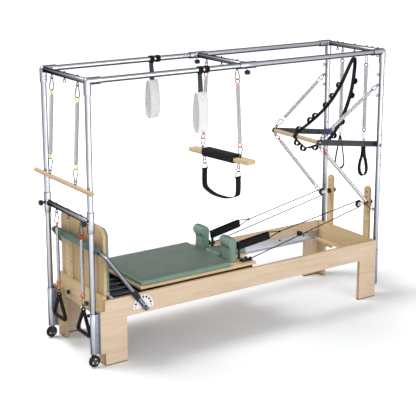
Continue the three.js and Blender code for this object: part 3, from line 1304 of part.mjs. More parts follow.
sides.forEach(([side, word]) => {
  const legY = side * LEG_SPRING_Y;
  const rollY = side * ROLL_SPRING_Y;
  spring(`leg_spring_${word}`, [FOOT_POST_X, legY, LOWER_BAR_EYE_Z], [FOOT_POST_X, legY, LEG_HANDLE_EYE_Z],
    LEG_SPRING_TOP, LEG_SPRING_FOOT);
  piece(`leg_handle_${word}`, legHandle(side), WEB);
  spring(`roll_spring_${word}`, [FOOT_POST_X, rollY, TOP_EYE_Z], [ROLL_BAR_X, rollY, ROLL_EYE_Z],
    ROLL_SPRING_TOP, ROLL_SPRING_FOOT);
});
piece('roll_down_bar', rollDownBar(), BIRCH);

const trapeze = new THREE.Group();
const turn = THREE.MathUtils.degToRad(TRAPEZE_TURN_DEG);
trapeze.position.x = MID_X;
trapeze.rotation.z = turn;
unit.add(trapeze);
piece('trapeze_bar', trapezeBar(), BIRCH, trapeze);
piece('trapeze_sling', trapezeSling(), WEB, trapeze);
sides.forEach(([side, word]) => {
  const foot = [
    MID_X - side * TRAPEZE_BOTTOM_Y * Math.sin(turn), side * TRAPEZE_BOTTOM_Y * Math.cos(turn),
    TRAPEZE_Z + TRAPEZE_EYE_RISE];
  spring(`trapeze_spring_${word}`, [MID_X, side * TRAPEZE_TOP_Y, TOP_EYE_Z], foot,
    TRAPEZE_SPRING_TOP, TRAPEZE_SPRING_FOOT);
  piece(`fleece_loop_${word}`, fleeceLoop(side), FLEECE);
});

const pushBar = new THREE.Group();
pushBar.position.set(HEAD_POST_X, 0, PUSH_PIVOT_Z);
pushBar.rotation.y = ARM_DROP;
unit.add(pushBar);
piece('push_dowel', pushDowel(), BIRCH, pushBar);
sides.forEach(([side, word]) => {
  const y = side * PUSH_ARM_Y;
  piece(`push_arm_${word}`, pushArm(side), BLACK, pushBar);
  spring(`push_upper_spring_${word}`, [POST_EYE_X, side * POST_Y, UPPER_EYE_Z],
    raised(-PUSH_EYE_REACH, y, PUSH_EYE_RISE), PUSH_SPRING_TOP, PUSH_SPRING_FOOT);
  spring(`push_lower_spring_${word}`, raised(-PUSH_EYE_REACH, y, -PUSH_EYE_RISE),
    [POST_EYE_X, side * POST_Y, LOWER_EYE_Z], PUSH_SPRING_TOP, PUSH_SPRING_FOOT);
  const headY = side * HEAD_SPRING_Y;
  spring(`head_spring_${word}`, [HEAD_POST_X, headY, TOP_EYE_Z], [HEAD_POST_X, headY, HEAD_LOOP_EYE_Z],
    HEAD_SPRING_TOP, HEAD_SPRING_FOOT);
  piece(`head_loop_${word}`, headLoop(side), WEB);
});
piece('loop_strap', loopStrap(), WEB);

// The origin goes to the middle of the footprint, between the clamp knobs and the head eyelets
const farLow = FOOT_POST_X - SLEEVE_R - KNOB_NECK_LENGTH - KNOB_LENGTH;
const farHigh = HEAD_POST_X + TUBE_R + STEM_LENGTH;
unit.position.x = -(farLow + farHigh) / 2;

console.log(`least gap of a spring to itself: ${Math.min(...springGaps).toFixed(2)} mm`);

export default unit;
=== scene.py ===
# Looks of the pilates tower unit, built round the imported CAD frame.
# Lengths in this script are in millimetres, with x = 0 at the foot-end board's outer face
# as in the CAD source, and turned into the row frame's metres when a mesh is made.

import math

import bmesh
import bpy
from mathutils import Matrix, Vector, noise
from mathutils.geometry import tessellate_polygon


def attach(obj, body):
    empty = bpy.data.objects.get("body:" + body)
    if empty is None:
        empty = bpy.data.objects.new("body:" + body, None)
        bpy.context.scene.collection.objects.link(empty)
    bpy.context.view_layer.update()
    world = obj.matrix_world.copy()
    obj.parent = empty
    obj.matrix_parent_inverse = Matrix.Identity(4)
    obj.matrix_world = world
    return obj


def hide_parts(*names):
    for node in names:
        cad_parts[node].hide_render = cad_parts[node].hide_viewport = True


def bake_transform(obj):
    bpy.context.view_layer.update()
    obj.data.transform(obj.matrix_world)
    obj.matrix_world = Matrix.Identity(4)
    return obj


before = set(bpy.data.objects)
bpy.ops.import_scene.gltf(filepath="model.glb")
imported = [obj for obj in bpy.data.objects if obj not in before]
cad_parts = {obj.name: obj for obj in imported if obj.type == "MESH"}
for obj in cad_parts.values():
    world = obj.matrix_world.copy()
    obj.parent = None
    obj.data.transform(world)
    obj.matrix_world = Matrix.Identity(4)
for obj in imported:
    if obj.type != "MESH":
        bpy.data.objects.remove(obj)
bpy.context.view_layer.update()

SHIFT = 1158.15
SIDES = ((-1, "front"), (1, "back"))
HANDS = (1, -1)
GAP = 0.3
WHITE = (1.0, 1.0, 1.0, 1.0)
ALONG_X, ALONG_Y, UP, DOWN = (1, 0, 0), (0, 1, 0), (0, 0, 1), (0, 0, -1)

# Bed
BED_LENGTH = 2400
HALF = 347.5
PANEL_INNER = HALF - 26
LEG = 166
LEDGE = 27
EAR = 36
HEAD_FACE = 2419.7

# Tower
TUBE_R = 19
SLEEVE_R = 24
RAIL_Z = 1922
POST_Y = 312
FOOT_X = -72
HEAD_X = 2423.3
MID_X = 1172
LOWER_Z = 998
EYE_DROP = 38.5
EYE_Z = RAIL_Z - EYE_DROP
EYE_SEAT = 2.7
POST_EYE_X = 2384.8
SADDLE = (91, 373)
WHEEL_Y, AXLE_Z = 317, 40.7

# Hanging parts
LEG_Y, STIRRUP_EYE_Z = 178, 386.5
ROLL_X, ROLL_Y, ROLL_EYE_Z = -107.3, 183, 1244.5
TRAPEZE_EYE_Z, SLING_EYE_Z, SLING_Y = 1252.5, 1203.5, 178.5
LOOP_Y, LOOP_EYE_Z = 138, 1210.5
PUSH_Z, PUSH_REACH, PUSH_Y = 1205, 565, 270

# Carriage
CARRIAGE = (300, 1272)
CARRIAGE_TOP = 482
CUSHION = (CARRIAGE_TOP + GAP, 516)
REST_X = 1115
REST_Y = 171
ROPE_POST_X = 1212
CLEAT_Y = 238
ROPE_R = 3.5
ROPE_Y = 219
PULLEY = (2318, 733)
SPRING_Z = 418

# Foot bar: its pivot, its roll and its arms
PIVOT_X, PIVOT_Z = 290, 372
FOOTBAR_X, FOOTBAR_Z = -20, 792
ARM_Y = 367


def place(p):
    """A point in millimetres as a place in the row frame."""
    return Vector(((p[0] - SHIFT) / 1000, p[1] / 1000, p[2] / 1000))


# Camera at the photograph's viewing angle

scene = bpy.context.scene
camera_data = bpy.data.cameras.new("camera")
camera = bpy.data.objects.new("camera", camera_data)
scene.collection.objects.link(camera)
camera.location = (-4.4614, -6.4155, 3.0333)
camera.rotation_euler = (math.radians(76.41), 0, math.radians(-34.13))
camera_data.sensor_width = 36
camera_data.lens = 95.85
camera_data.shift_x = 0.0029
camera_data.shift_y = -0.1
camera_data.clip_end = 200
scene.camera = camera
scene.view_settings.view_transform = "Standard"


# Materials

def srgb(text):
    """A colour written as #rrggbb, in linear numbers."""
    parts = [int(text[i:i + 2], 16) / 255 for i in (1, 3, 5)]
    return [c / 12.92 if c < 0.04045 else ((c + 0.055) / 1.055) ** 2.4 for c in parts] + [1]


class Nodes:
    """A tree of shader nodes, added and joined by name."""

    def __init__(self, tree):
        self.tree = tree

    def join(self, value, socket):
        if hasattr(value, "is_output"):
            self.tree.links.new(value, socket)
        else:
            socket.default_value = value

    def node(self, kind, inputs=None, **settings):
        made = self.tree.nodes.new("ShaderNode" + kind)
        for key, value in settings.items():
            setattr(made, key, value)
        for key, value in (inputs or {}).items():
            self.join(value, made.inputs[key])
        return made

    def mix(self, fac, a, b, kind="MIX"):
        return self.node("Mix", {0: fac, 6: a, 7: b}, data_type="RGBA", blend_type=kind).outputs[2]

    def math(self, kind, a, b=0.0, c=0.0):
        return self.node("Math", {0: a, 1: b, 2: c}, operation=kind).outputs[0]

    def background_rays(self):
        """1 for rays that show the background: seen directly, in metal or through glass."""
        light = self.node("LightPath").outputs
        seen = self.math("MAXIMUM", light["Is Camera Ray"], light["Is Glossy Ray"])
        return self.math("MAXIMUM", seen, light["Is Transmission Ray"])


class Shader(Nodes):
    """One material's nodes round its main shader."""

    def __init__(self, name, color, rough, metal=0, **sockets):
        self.material = bpy.data.materials.new(name)
        self.material.use_nodes = True
        super().__init__(self.material.node_tree)
        self.bsdf = self.tree.nodes["Principled BSDF"]
        for socket, value in {"Base_Color": color, "Roughness": rough, "Metallic": metal, **sockets}.items():
            self.set(socket.replace("_", " "), value)

    def set(self, socket, value):
        self.join(value, self.bsdf.inputs[socket])

    def where(self, source="Object"):
        return self.node("TexCoord").outputs[source]

    def split(self, source="Object"):
        return self.node("SeparateXYZ", {"Vector": self.where(source)}).outputs

    def coords(self, scale=(1, 1, 1)):
        return self.node("Mapping", {"Vector": self.where(), "Scale": scale}).outputs["Vector"]

    def noise(self, scale, detail=4, rough=0.5, distortion=0, stretch=(1, 1, 1)):
        return self.node("TexNoise", {"Vector": self.coords(stretch), "Scale": scale, "Detail": detail,
                                      "Roughness": rough, "Distortion": distortion}).outputs["Fac"]

    def cells(self, scale, **settings):
        made = self.node("TexVoronoi", {"Vector": self.coords(), "Scale": scale}, **settings)
        return made.outputs["Distance"]

    def ramp(self, fac, *stops):
        made = self.node("ValToRGB", {"Fac": fac})
        elements = made.color_ramp.elements
        while len(elements) < len(stops):
            elements.new(0.5)
        for element, (at, color) in zip(elements, stops):
            element.position, element.color = at, color
        return made.outputs["Color"]

    def grey(self, fac, low, high, start=0.0, end=1.0):
        return self.ramp(fac, (start, (low, low, low, 1)), (end, (high, high, high, 1)))

    def tones(self, fac, low, high, start=0.3, end=0.7):
        return self.ramp(fac, (start, srgb(low)), (end, srgb(high)))

    def bump(self, height, strength, distance):
        made = self.node("Bump", {"Height": height, "Strength": strength, "Distance": distance})
        before = self.bsdf.inputs["Normal"].links
        if before:
            self.join(before[0].from_socket, made.inputs["Normal"])
        self.set("Normal", made.outputs["Normal"])


def wood(name, along, across, light="#e4ccb1", dark="#d8bd9c", pale="#ebd8c1", joints=True,
         stave=0.042, depth=0.4):
    """Lacquered light timber: the grain runs along one axis, in glued staves across another."""
    s = Shader(name, srgb(light), 0.5, Specular_IOR_Level=0.25)

    def drawn(share):
        return [share if axis == along else 1.0 for axis in range(3)]

    grain = s.noise(46, 8, 0.62, 0.6, drawn(0.07))
    fibre = s.noise(420, 3, 0.6, stretch=drawn(0.02))
    cloud = s.noise(3.2, 3, 0.5, stretch=drawn(0.535))
    color = s.ramp(grain, (0.28, srgb(dark)), (0.5, srgb(light)), (0.74, srgb(pale)))
    color = s.mix(0.14, color, s.grey(fibre, 0.7, 1.08, 0.35, 0.7), "MULTIPLY")
    color = s.mix(0.25, color, s.tones(cloud, dark, pale))
    if joints:
        part = s.split()
        flat = s.node("CombineXYZ", {"X": part[along], "Y": part[across]})
        staves = s.node("TexBrick", {
            "Vector": flat.outputs["Vector"], "Color1": (0.82, 0.8, 0.78, 1), "Color2": WHITE,
            "Mortar": (0.74, 0.68, 0.6, 1), "Scale": 1.0, "Mortar Size": 0.0004, "Mortar Smooth": 0.1,
            "Bias": 0.1, "Brick Width": 8 * stave, "Row Height": stave}, offset=0.37, squash=1.0)
        color = s.mix(depth, color, staves.outputs["Color"], "MULTIPLY")
    s.set("Base Color", color)
    s.set("Roughness", s.grey(grain, 0.42, 0.56))
    s.bump(fibre, 0.12, 0.0004)
    s.bump(grain, 0.08, 0.0006)
    return s.material


def ply(name, axis):
    """Sanded edge of plywood: thin layers across the board's thickness."""
    layer = 0.0028
    # Its tones are darker and yellower than the face birch: partly the ply edge's own colour, partly painted
    # shade.
    s = Shader(name, srgb("#d9bd95"), 0.55, Specular_IOR_Level=0.2)
    layers = s.math("SINE", s.math("MULTIPLY", s.split()[axis], 2 * math.pi / layer))
    height = s.math("MULTIPLY_ADD", layers, 0.5, 0.5)
    color = s.tones(height, "#b99663", "#d8bb8a", 0.15, 0.8)
    s.set("Base Color", s.mix(0.3, color, s.tones(s.noise(60, 5, 0.6), "#bd9a68", "#dcc294")))
    s.bump(height, 0.1, 0.0003)
    return s.material


def vinyl(name, side, top):
    """Grained vinyl, with a pair of tones for its sides and a darker pair for what faces up: painted shade on
    its tops.
    """
    s = Shader(name, srgb(side[0]), 0.5, Specular_IOR_Level=0.2)
    cells = s.cells(620, feature="DISTANCE_TO_EDGE")
    folds = s.noise(14, 5, 0.55)
    # Painted shade: faces turned up take the darker top tones, the sides the lighter ones.
    painted_top_shade = s.grey(s.split("Normal")["Z"], 0, 1, 0.8, 0.97)
    tone = s.mix(painted_top_shade, s.tones(folds, *side), s.tones(folds, *top))
    s.set("Base Color", s.mix(0.18, tone, s.grey(cells, 0.7, 1.05, 0.0, 0.25), "MULTIPLY"))
    s.set("Roughness", s.grey(s.noise(90), 0.44, 0.6))
    s.bump(cells, 0.22, 0.0004)
    s.bump(folds, 0.15, 0.0012)
    return s.material


def metal(name, color, low, high, streak=(1, 1, 0.03), wear=0.06, painted_shade_limit=1.0):
    """Plated or brushed metal, with fine streaks and faint handling marks; with a limit below 1 it also carries
    painted shade and painted reflection bands, darker on faces turned down, towards -x and +y, up and towards
    +x.
    """
    s = Shader(name, srgb(color), low, 1, Specular_Tint=(0.1, 0.1, 0.1, 1))
    lines = s.noise(700, 3, 0.6, stretch=streak)
    marks = s.noise(22, 5, 0.6)
    s.set("Roughness", s.mix(0.5, s.grey(lines, low, high), s.grey(marks, low, high)))
    tone = s.mix(wear, srgb(color), s.grey(marks, 0.25, 0.9, 0.4, 0.62), "MULTIPLY")
    # Painted shade and reflection: the tone darkens by which way the face points, never below the limit.
    if painted_shade_limit < 1:
        heading = s.node("VectorMath", {0: s.where("Normal"), 1: (-0.75, 0.5, -0.6)},
                         operation="DOT_PRODUCT").outputs["Value"]
        part = s.split("Normal")
        shade = s.grey(heading, 1, 0.7, 0.05, 0.3)
        for value, lowest, start, end in ((heading, painted_shade_limit, 0.5, 0.7),
                                          (s.math("MULTIPLY", part["Z"], -1), painted_shade_limit, 0.1, 0.36),
                                          (part["Z"], painted_shade_limit + 0.1, 0.5, 0.84),
                                          (part["X"], painted_shade_limit + 0.2, 0.2, 0.5)):
            shade = s.math("MULTIPLY", shade, s.grey(value, 1, lowest, start, end))
        tone = s.mix(1.0, tone, s.math("MAXIMUM", shade, painted_shade_limit), "MULTIPLY")
    s.set("Base Color", tone)
    s.bump(lines, 0.05, 0.0001)
    return s.material


def coated(name, color, rough, grain=900, deep=0.12, gloss=0.2):
    """Powder coat or moulded plastic: a fine orange-peel grain with slight wear."""
    s = Shader(name, srgb(color), rough, Specular_IOR_Level=gloss)
    scuff = s.noise(40, 6, 0.65)
    lighter = [min(1, c * 1.5 + 0.012) for c in srgb(color)[:3]] + [1]
    s.set("Base Color", s.ramp(scuff, (0.35, srgb(color)), (0.75, lighter)))
    s.set("Roughness", s.grey(scuff, rough - 0.08, rough + 0.1))
    s.bump(s.noise(grain, 3), deep, 0.0003)
    return s.material


def webbing(name, color, lighter, pitch=0.0024):
    """Woven band: the mesh's own lengths across and along drive a twill weave."""
    s = Shader(name, srgb(color), 0.85, Specular_IOR_Level=0.12)
    uv = s.split("UV")
    turns = 2 * math.pi / pitch
    across = s.math("SINE", s.math("MULTIPLY", uv["X"], turns))
    along = s.math("SINE", s.math("MULTIPLY", s.math("ADD", uv["X"], uv["Y"]), turns / 1.6))
    height = s.math("MULTIPLY_ADD", s.math("MULTIPLY", across, along), 0.5, 0.5)
    fuzz = s.grey(s.noise(300), 0.4, 1.2)
    s.set("Base Color", s.mix(0.5, s.tones(height, color, lighter, 0.1, 0.9), fuzz, "MULTIPLY"))
    s.bump(height, 0.5, 0.0006)
    return s.material


def fleece():
    s = Shader("white_fleece", srgb("#fbfaf8"), 0.95, Sheen_Weight=0.6, Sheen_Roughness=0.5,
               Subsurface_Weight=0.5, Subsurface_Scale=0.02, Subsurface_Radius=(1, 1, 1))
    curl = s.noise(260, 7, 0.7, 0.8)
    s.set("Base Color", s.tones(curl, "#eceae6", "#fdfcfa", 0.25, 0.6))
    s.bump(s.cells(190), 0.5, 0.0016)
    s.bump(curl, 0.7, 0.0014)
    return s.material


FINISHES = {
    "wood_x": lambda: wood("birch_lengthwise", 0, 2),
    # The carriage birch is more saturated: partly its own tone, partly painted shade.
    "wood_xy": lambda: wood("birch_carriage", 0, 1, "#e6c7a0", "#d8b388", "#efd6b4"),
    # Painted shade: the crosswise, upright and jump-board birch and the ply edges are darker, yellower copies
    # of the birch, for faces turned from the light, mostly those facing -x.
    "wood_y": lambda: wood("birch_crosswise", 1, 2, "#dfc59b", "#cfae7e", "#e8d2ad"),
    "wood_z": lambda: wood("birch_upright", 2, 1, "#e2c79a", "#d2b07c", "#ead3ac"),
    "wood_dowel": lambda: wood("beech_dowel", 1, 2, "#d0b18c", "#bd9a70", "#dcc09c", joints=False),
    # The jump board's strong stave bands: partly the staves' own tone, partly painted shade of its grooves.
    "wood_jump": lambda: wood("birch_jump_board", 2, 1, "#dcbf90", "#c8a672", "#e6cda2",
                              stave=0.086, depth=1.0),
    "ply": lambda: ply("ply_edge_y", 1),
    "ply_x": lambda: ply("ply_edge_x", 0),
    "vinyl": lambda: vinyl("sage_vinyl", ("#7c9788", "#86a093"), ("#5a675d", "#647167")),
    "roll": lambda: vinyl("dark_sage_vinyl", ("#567064", "#5f796d"), ("#4e6259", "#566a61")),
    "piping": lambda: coated("sage_piping", "#6a8474", 0.55, 700, 0.1),
    # The tube, chrome and arm finishes carry painted shade and reflection bands by facing.
    "tube": lambda: metal("satin_tube", "#b5b7be", 0.2, 0.32, painted_shade_limit=0.22),
    "chrome": lambda: metal("polished_chrome", "#a2a5af", 0.14, 0.26, wear=0.03, painted_shade_limit=0.45),
    "clip": lambda: metal("clip_wire", "#54565b", 0.5, 0.64, wear=0.03),
    "arm": lambda: metal("grey_arm", "#8b8993", 0.2, 0.32, wear=0.03, painted_shade_limit=0.5),
    "bracket": lambda: metal("grey_bracket", "#8d8f99", 0.5, 0.62),
    "spring": lambda: metal("spring_wire", "#c3c4c3", 0.38, 0.5),
    "bright": lambda: metal("bright_spring_wire", "#c4c5c8", 0.22, 0.34),
    "cream": lambda: metal("warm_spring_wire", "#d2d2cd", 0.3, 0.42),
    # Painted shade: a darker copy of the spring wire for the carriage springs, which lie in shade under the
    # carriage.
    "spring_in_shade": lambda: metal("shaded_spring_wire", "#77797c", 0.3, 0.42),
    "zinc": lambda: metal("zinc_fitting", "#66686d", 0.45, 0.6),
    "track": lambda: metal("track_aluminium", "#cfd1d9", 0.3, 0.46, (0.02, 1, 1)),
    "white": lambda: coated("white_powder_coat", "#eef0f1", 0.4),
    "black": lambda: coated("black_powder_coat", "#363739", 0.5),
    "plastic": lambda: coated("black_plastic", "#1c1d1f", 0.42, 500, 0.1),
    "rubber": lambda: coated("black_rubber", "#191a1b", 0.75, 300, 0.2),
    "webbing": lambda: webbing("black_webbing", "#101112", "#2a2b2e"),
    "strap": lambda: webbing("grey_webbing", "#33363c", "#5a5e66"),
    "foam": lambda: coated("black_foam", "#1b1c1e", 0.85, 420, 0.5, 0.12),
    "rope": lambda: webbing("black_rope", "#070708", "#161719", 0.0035),
    "fleece": fleece,
    "hem": lambda: webbing("grey_hem", "#d0d3d4", "#e4e7e8"),
    "red": lambda: coated("red_sleeve", "#d8281f", 0.5, gloss=0.1),
    "blue": lambda: coated("blue_sleeve", "#2348a8", 0.5, gloss=0.1),
    "yellow": lambda: coated("yellow_sleeve", "#e3d21c", 0.5, gloss=0.1),
    # Near-black standing for the shade inside holes: bores, the plate holes and the post holes; also the wheel
    # hubs' dark spots.
    "dark": lambda: coated("dark_bore", "#0c0c0d", 0.8),
}
made_finishes = {}


def finish_of(name):
    if name not in made_finishes:
        made_finishes[name] = FINISHES[name]()
    return made_finishes[name]


# Shapes: each returns points, faces and, for each face, its lengths across and along

def angles(count):
    """A full turn in equal steps."""
    return [2 * math.pi * k / count for k in range(count)]


def circle(radius, sides):
    return [(radius * math.cos(a), radius * math.sin(a)) for a in angles(sides)]


def lobed(radius, depth, sides):
    """Circle with six shallow lobes."""
    return [((1 + depth * math.cos(6 * a)) * radius * math.cos(a),
             (1 + depth * math.cos(6 * a)) * radius * math.sin(a)) for a in angles(sides)]


def band_section(width, thick, steps=2):
    """Outline of a flat band, round at its edges."""
    r = thick / 2
    side = width / 2 - r
    points = []
    for centre, start in ((side, -90), (-side, 90)):
        for k in range(2 * steps + 1):
            a = math.radians(start + 180 * k / (2 * steps))
            points.append((centre + r * math.cos(a), r * math.sin(a)))
    return points


def sweep(path, section, closed=False, across=None, scale=None, along=None):
    """Section carried along a path. Its first axis keeps to across, where that is given."""
    path = [Vector(p) for p in path]
    n, m = len(path), len(section)
    headings = []
    for i in range(n):
        before = path[(i - 1) % n] if closed else path[max(i - 1, 0)]
        after = path[(i + 1) % n] if closed else path[min(i + 1, n - 1)]
        headings.append((after - before if along is None else Vector(along)).normalized())
    lean = Vector(UP) if abs(headings[0].z) < 0.9 else Vector(ALONG_X)
    side = headings[0].cross(lean).normalized()
    verts, lengths = [], [0.0]
    for i, centre in enumerate(path):
        heading = headings[i]
        if across is not None:
            side = Vector(across)
            side = (side - heading * side.dot(heading)).normalized()
        elif i:
            side = headings[i - 1].rotation_difference(heading) @ side
        up = heading.cross(side)
        size = scale[i] if scale else 1
        verts += [centre + side * (u * size) + up * (v * size) for u, v in section]
        if i:
            lengths.append(lengths[-1] + (centre - path[i - 1]).length / 1000)
    lengths.append(lengths[-1] + (path[0] - path[-1]).length / 1000)
    around = [0.0]
    for k in range(m):
        a, b = Vector(section[k]), Vector(section[(k + 1) % m])
        around.append(around[-1] + (b - a).length / 1000)
    faces, uvs = [], []
    for i in range(n if closed else n - 1):
        j = (i + 1) % n
        for k in range(m):
            l = (k + 1) % m
            faces.append((i * m + k, i * m + l, j * m + l, j * m + k))
            uvs.append(((around[k], lengths[i]), (around[k + 1], lengths[i]),
                        (around[k + 1], lengths[i + 1]), (around[k], lengths[i + 1])))
    if not closed:
        flat = [(u / 1000, v / 1000) for u, v in section]
        faces += [tuple(range(m))[::-1], tuple(range((n - 1) * m, n * m))]
        uvs += [flat[::-1], flat]
    return verts, faces, uvs


def turned(start, along, profile, sides=28, section=None):
    """Turned shape: the profile gives lengths along the axis and radii."""
    along = Vector(along).normalized()
    path = [Vector(start) + along * s for s, _ in profile]
    return sweep(path, section or circle(1, sides), scale=[r for _, r in profile], along=along)


def rod(a, b, radius, sides=32, chamfer=1.0):
    a, b = Vector(a), Vector(b)
    length = (b - a).length
    c = min(chamfer, radius * 0.6, length / 3)
    return turned(a, b - a, [(0, radius - c), (c * 0.3, radius - c * 0.3), (c, radius), (length - c, radius),
                             (length - c * 0.3, radius - c * 0.3), (length, radius - c)], sides)


def hoop(centre, normal, radius, wire, sides=10, steps=28):
    """Closed ring of round wire."""
    normal = Vector(normal).normalized()
    u = normal.orthogonal().normalized()
    v = normal.cross(u)
    path = [Vector(centre) + u * a + v * b for a, b in circle(radius, steps)]
    return sweep(path, circle(wire, sides), closed=True)


def inset(points, depth):
    """Outline moved inwards by a depth, corner by corner."""
    n = len(points)
    area = sum(points[i][0] * points[(i + 1) % n][1] - points[(i + 1) % n][0] * points[i][1] for i in range(n))
    hand = 1 if area > 0 else -1
    moved = []
    for i in range(n):
        p, q, r = (Vector(points[(i + k) % n]) for k in (-1, 0, 1))
        a, b = (q - p).normalized(), (r - q).normalized()
        mid = Vector((-a.y, a.x)) + Vector((-b.y, b.x))
        mid = mid / max(mid.dot(mid) / 2, 0.35)
        moved.append(tuple(q + mid * (depth * hand)))
    return moved


AXES = {"x": lambda a, b, c: (c, a, b), "y": lambda a, b, c: (a, c, b), "z": lambda a, b, c: (a, b, c)}


def slab(outline, axis, low, high, bevel=1.5, holes=()):
    """Flat outline given its thickness along one axis, with eased edges."""
    to = AXES[axis]
    low, high = sorted((low, high))
    verts, faces, flats = [], [], []
    for number, loop in enumerate([list(outline)] + [list(h) for h in holes]):
        b = -bevel * 0.5 if number else bevel
        rings = [(inset(loop, b), low), (inset(loop, b * 0.3), low + bevel * 0.3), (loop, low + bevel),
                 (loop, high - bevel), (inset(loop, b * 0.3), high - bevel * 0.3), (inset(loop, b), high)]
        base, m = len(verts), len(loop)
        for ring, c in rings:
            verts += [to(a, d, c) for a, d in ring]
        for i in range(len(rings) - 1):
            one, next_one = base + i * m, base + (i + 1) * m
            for k in range(m):
                after = (k + 1) % m
                faces.append((one + k, one + after, next_one + after, next_one + k))
        flats.append((base, base + (len(rings) - 1) * m, rings[0][0], m))
    if holes:
        at_low = [base + k for base, _, _, m in flats for k in range(m)]
        at_high = [top + k for _, top, _, m in flats for k in range(m)]
        for triangle in tessellate_polygon([[Vector((a, d, 0)) for a, d in ring] for _, _, ring, _ in flats]):
            faces.append(tuple(at_low[k] for k in triangle))
            faces.append(tuple(at_high[k] for k in triangle)[::-1])
    else:
        base, top, _, m = flats[0]
        faces += [tuple(base + k for k in range(m)), tuple(top + k for k in range(m))[::-1]]
    return verts, faces, [[(0.0, 0.0)] * len(face) for face in faces]


def block(low, high, bevel=1.5):
    (x0, y0, z0), (x1, y1, z1) = zip(*(sorted(pair) for pair in zip(low, high)))
    bevel = min(bevel, (x1 - x0) / 3, (y1 - y0) / 3, (z1 - z0) / 3)
    return slab([(x0, z0), (x1, z0), (x1, z1), (x0, z1)], "y", y0, y1, bevel)


def arc(cx, cy, radius, start, end, steps):
    return [(cx + radius * math.cos(math.radians(start + (end - start) * k / steps)),
             cy + radius * math.sin(math.radians(start + (end - start) * k / steps))) for k in range(steps + 1)]


def rounded(x0, y0, x1, y1, r, steps=6):
    y0, y1 = sorted((y0, y1))
    return (arc(x1 - r, y1 - r, r, 0, 90, steps) + arc(x0 + r, y1 - r, r, 90, 180, steps)
            + arc(x0 + r, y0 + r, r, 180, 270, steps) + arc(x1 - r, y0 + r, r, 270, 360, steps))


def smooth(points, steps=8, closed=False):
    """Points of a smooth curve through the given ones."""
    points = [Vector(p) for p in points]
    n = len(points)
    path = []
    for i in range(n if closed else n - 1):
        a, b, c, d = (points[(i + k) % n if closed else min(max(i + k, 0), n - 1)] for k in (-1, 0, 1, 2))
        for t in (k / steps for k in range(steps)):
            path.append(0.5 * (2 * b + (c - a) * t + (2 * a - 5 * b + 4 * c - d) * t * t
                               + (3 * b - a - 3 * c + d) * t ** 3))
    return path if closed else path + [points[-1]]


def bent(corners, radius, steps=8):
    """Straight runs joined by round bends."""
    corners = [Vector(c) for c in corners]
    path = [corners[0]]
    for before, corner, after in zip(corners, corners[1:], corners[2:]):
        back, on = (before - corner).normalized(), (after - corner).normalized()
        half = back.angle(on) / 2
        reach = radius / math.tan(half)
        centre = corner + (back + on).normalized() * (radius / math.sin(half))
        start, end = corner + back * reach - centre, corner + on * reach - centre
        whole = start.rotation_difference(end)
        for k in range(steps + 1):
            path.append(centre + Matrix.Rotation(whole.angle * k / steps, 3, whole.axis) @ start)
    path.append(corners[-1])
    return path


def between(points, spacing):
    """The same line with points no further apart than the spacing."""
    path = [Vector(points[0])]
    for a, b in zip(points, points[1:]):
        a, b = Vector(a), Vector(b)
        steps = max(1, math.ceil((b - a).length / spacing))
        path += [a.lerp(b, k / steps) for k in range(1, steps + 1)]
    return path


# Pieces

class Piece:
    """One Blender object, put together from shapes with their finishes."""

    def __init__(self, name, local=None):
        self.name, self.local = name, local or Matrix.Identity(4)
        self.verts, self.faces, self.slots, self.uvs, self.finishes = [], [], [], [], []

    def put(self, shape, finish):
        verts, faces, uvs = shape
        if finish not in self.finishes:
            self.finishes.append(finish)
        base = len(self.verts)
        self.verts += [self.local @ Vector(v) for v in verts]
        self.faces += [[base + i for i in face] for face in faces]
        self.uvs += list(uvs)
        self.slots += [self.finishes.index(finish)] * len(faces)
        return self

    def mesh(self, sharp=38):
        mesh = bpy.data.meshes.new(self.name)
        mesh.from_pydata([place(v) for v in self.verts], [], self.faces)
        mesh.polygons.foreach_set("material_index", self.slots)
        layer = mesh.uv_layers.new(name="UVMap")
        layer.data.foreach_set("uv", [c for face in self.uvs for pair in face for c in pair])
        solid = bmesh.new()
        solid.from_mesh(mesh)
        bmesh.ops.recalc_face_normals(solid, faces=solid.faces)
        solid.to_mesh(mesh)
        solid.free()
        mesh.shade_smooth()
        mesh.set_sharp_from_angle(angle=math.radians(sharp))
        for finish in self.finishes:
            mesh.materials.append(finish_of(finish))
        obj = bpy.data.objects.new(self.name, mesh)
        scene.collection.objects.link(obj)
        return obj

    def done(self, body, stands_for=(), slot=None):
        obj = self.mesh()
        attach(obj, body)
        if stands_for:
            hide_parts(*stands_for)
        return obj

    def blended(self, a, b, start, end, node, slot, sharp=38):
        """The piece is made with its place baked into its mesh, and hides the CAD node it stands for. Its two
        bodies and two places are not used.
        """
        obj = self.mesh(sharp)
        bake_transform(obj)
        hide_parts(node)
        return obj


def bolt(piece, at, out, radius=5, height=3.5, finish="chrome"):
    """Button-head bolt with a socket."""
    piece.put(turned(at, out, [(-0.5, radius), (height * 0.35, radius), (height * 0.8, radius * 0.82),
                               (height, radius * 0.55), (height, radius * 0.42), (height * 0.4, radius * 0.4)],
                     18), finish)


def nut(piece, at, out, radius=8, height=6):
    piece.put(turned(at, out, [(0, radius), (height * 0.8, radius), (height, radius * 0.86)],
                     section=circle(1, 6)), "zinc")
    piece.put(rod(Vector(at), Vector(at) + Vector(out).normalized() * (height + 2.5), radius * 0.5, 14), "zinc")


def collar(piece, at, out, radius, height, sides=24):
    piece.put(turned(at, out, [(0, radius), (height - 0.6, radius), (height, radius - 1)], sides), "chrome")


def bore(piece, at, out):
    """Threaded hole with its rim, its near-black inside painted shade."""
    piece.put(turned(at, out, [(-1, 5.5), (0.8, 6), (1, 4.6), (0.2, 4.4)], 20), "dark")


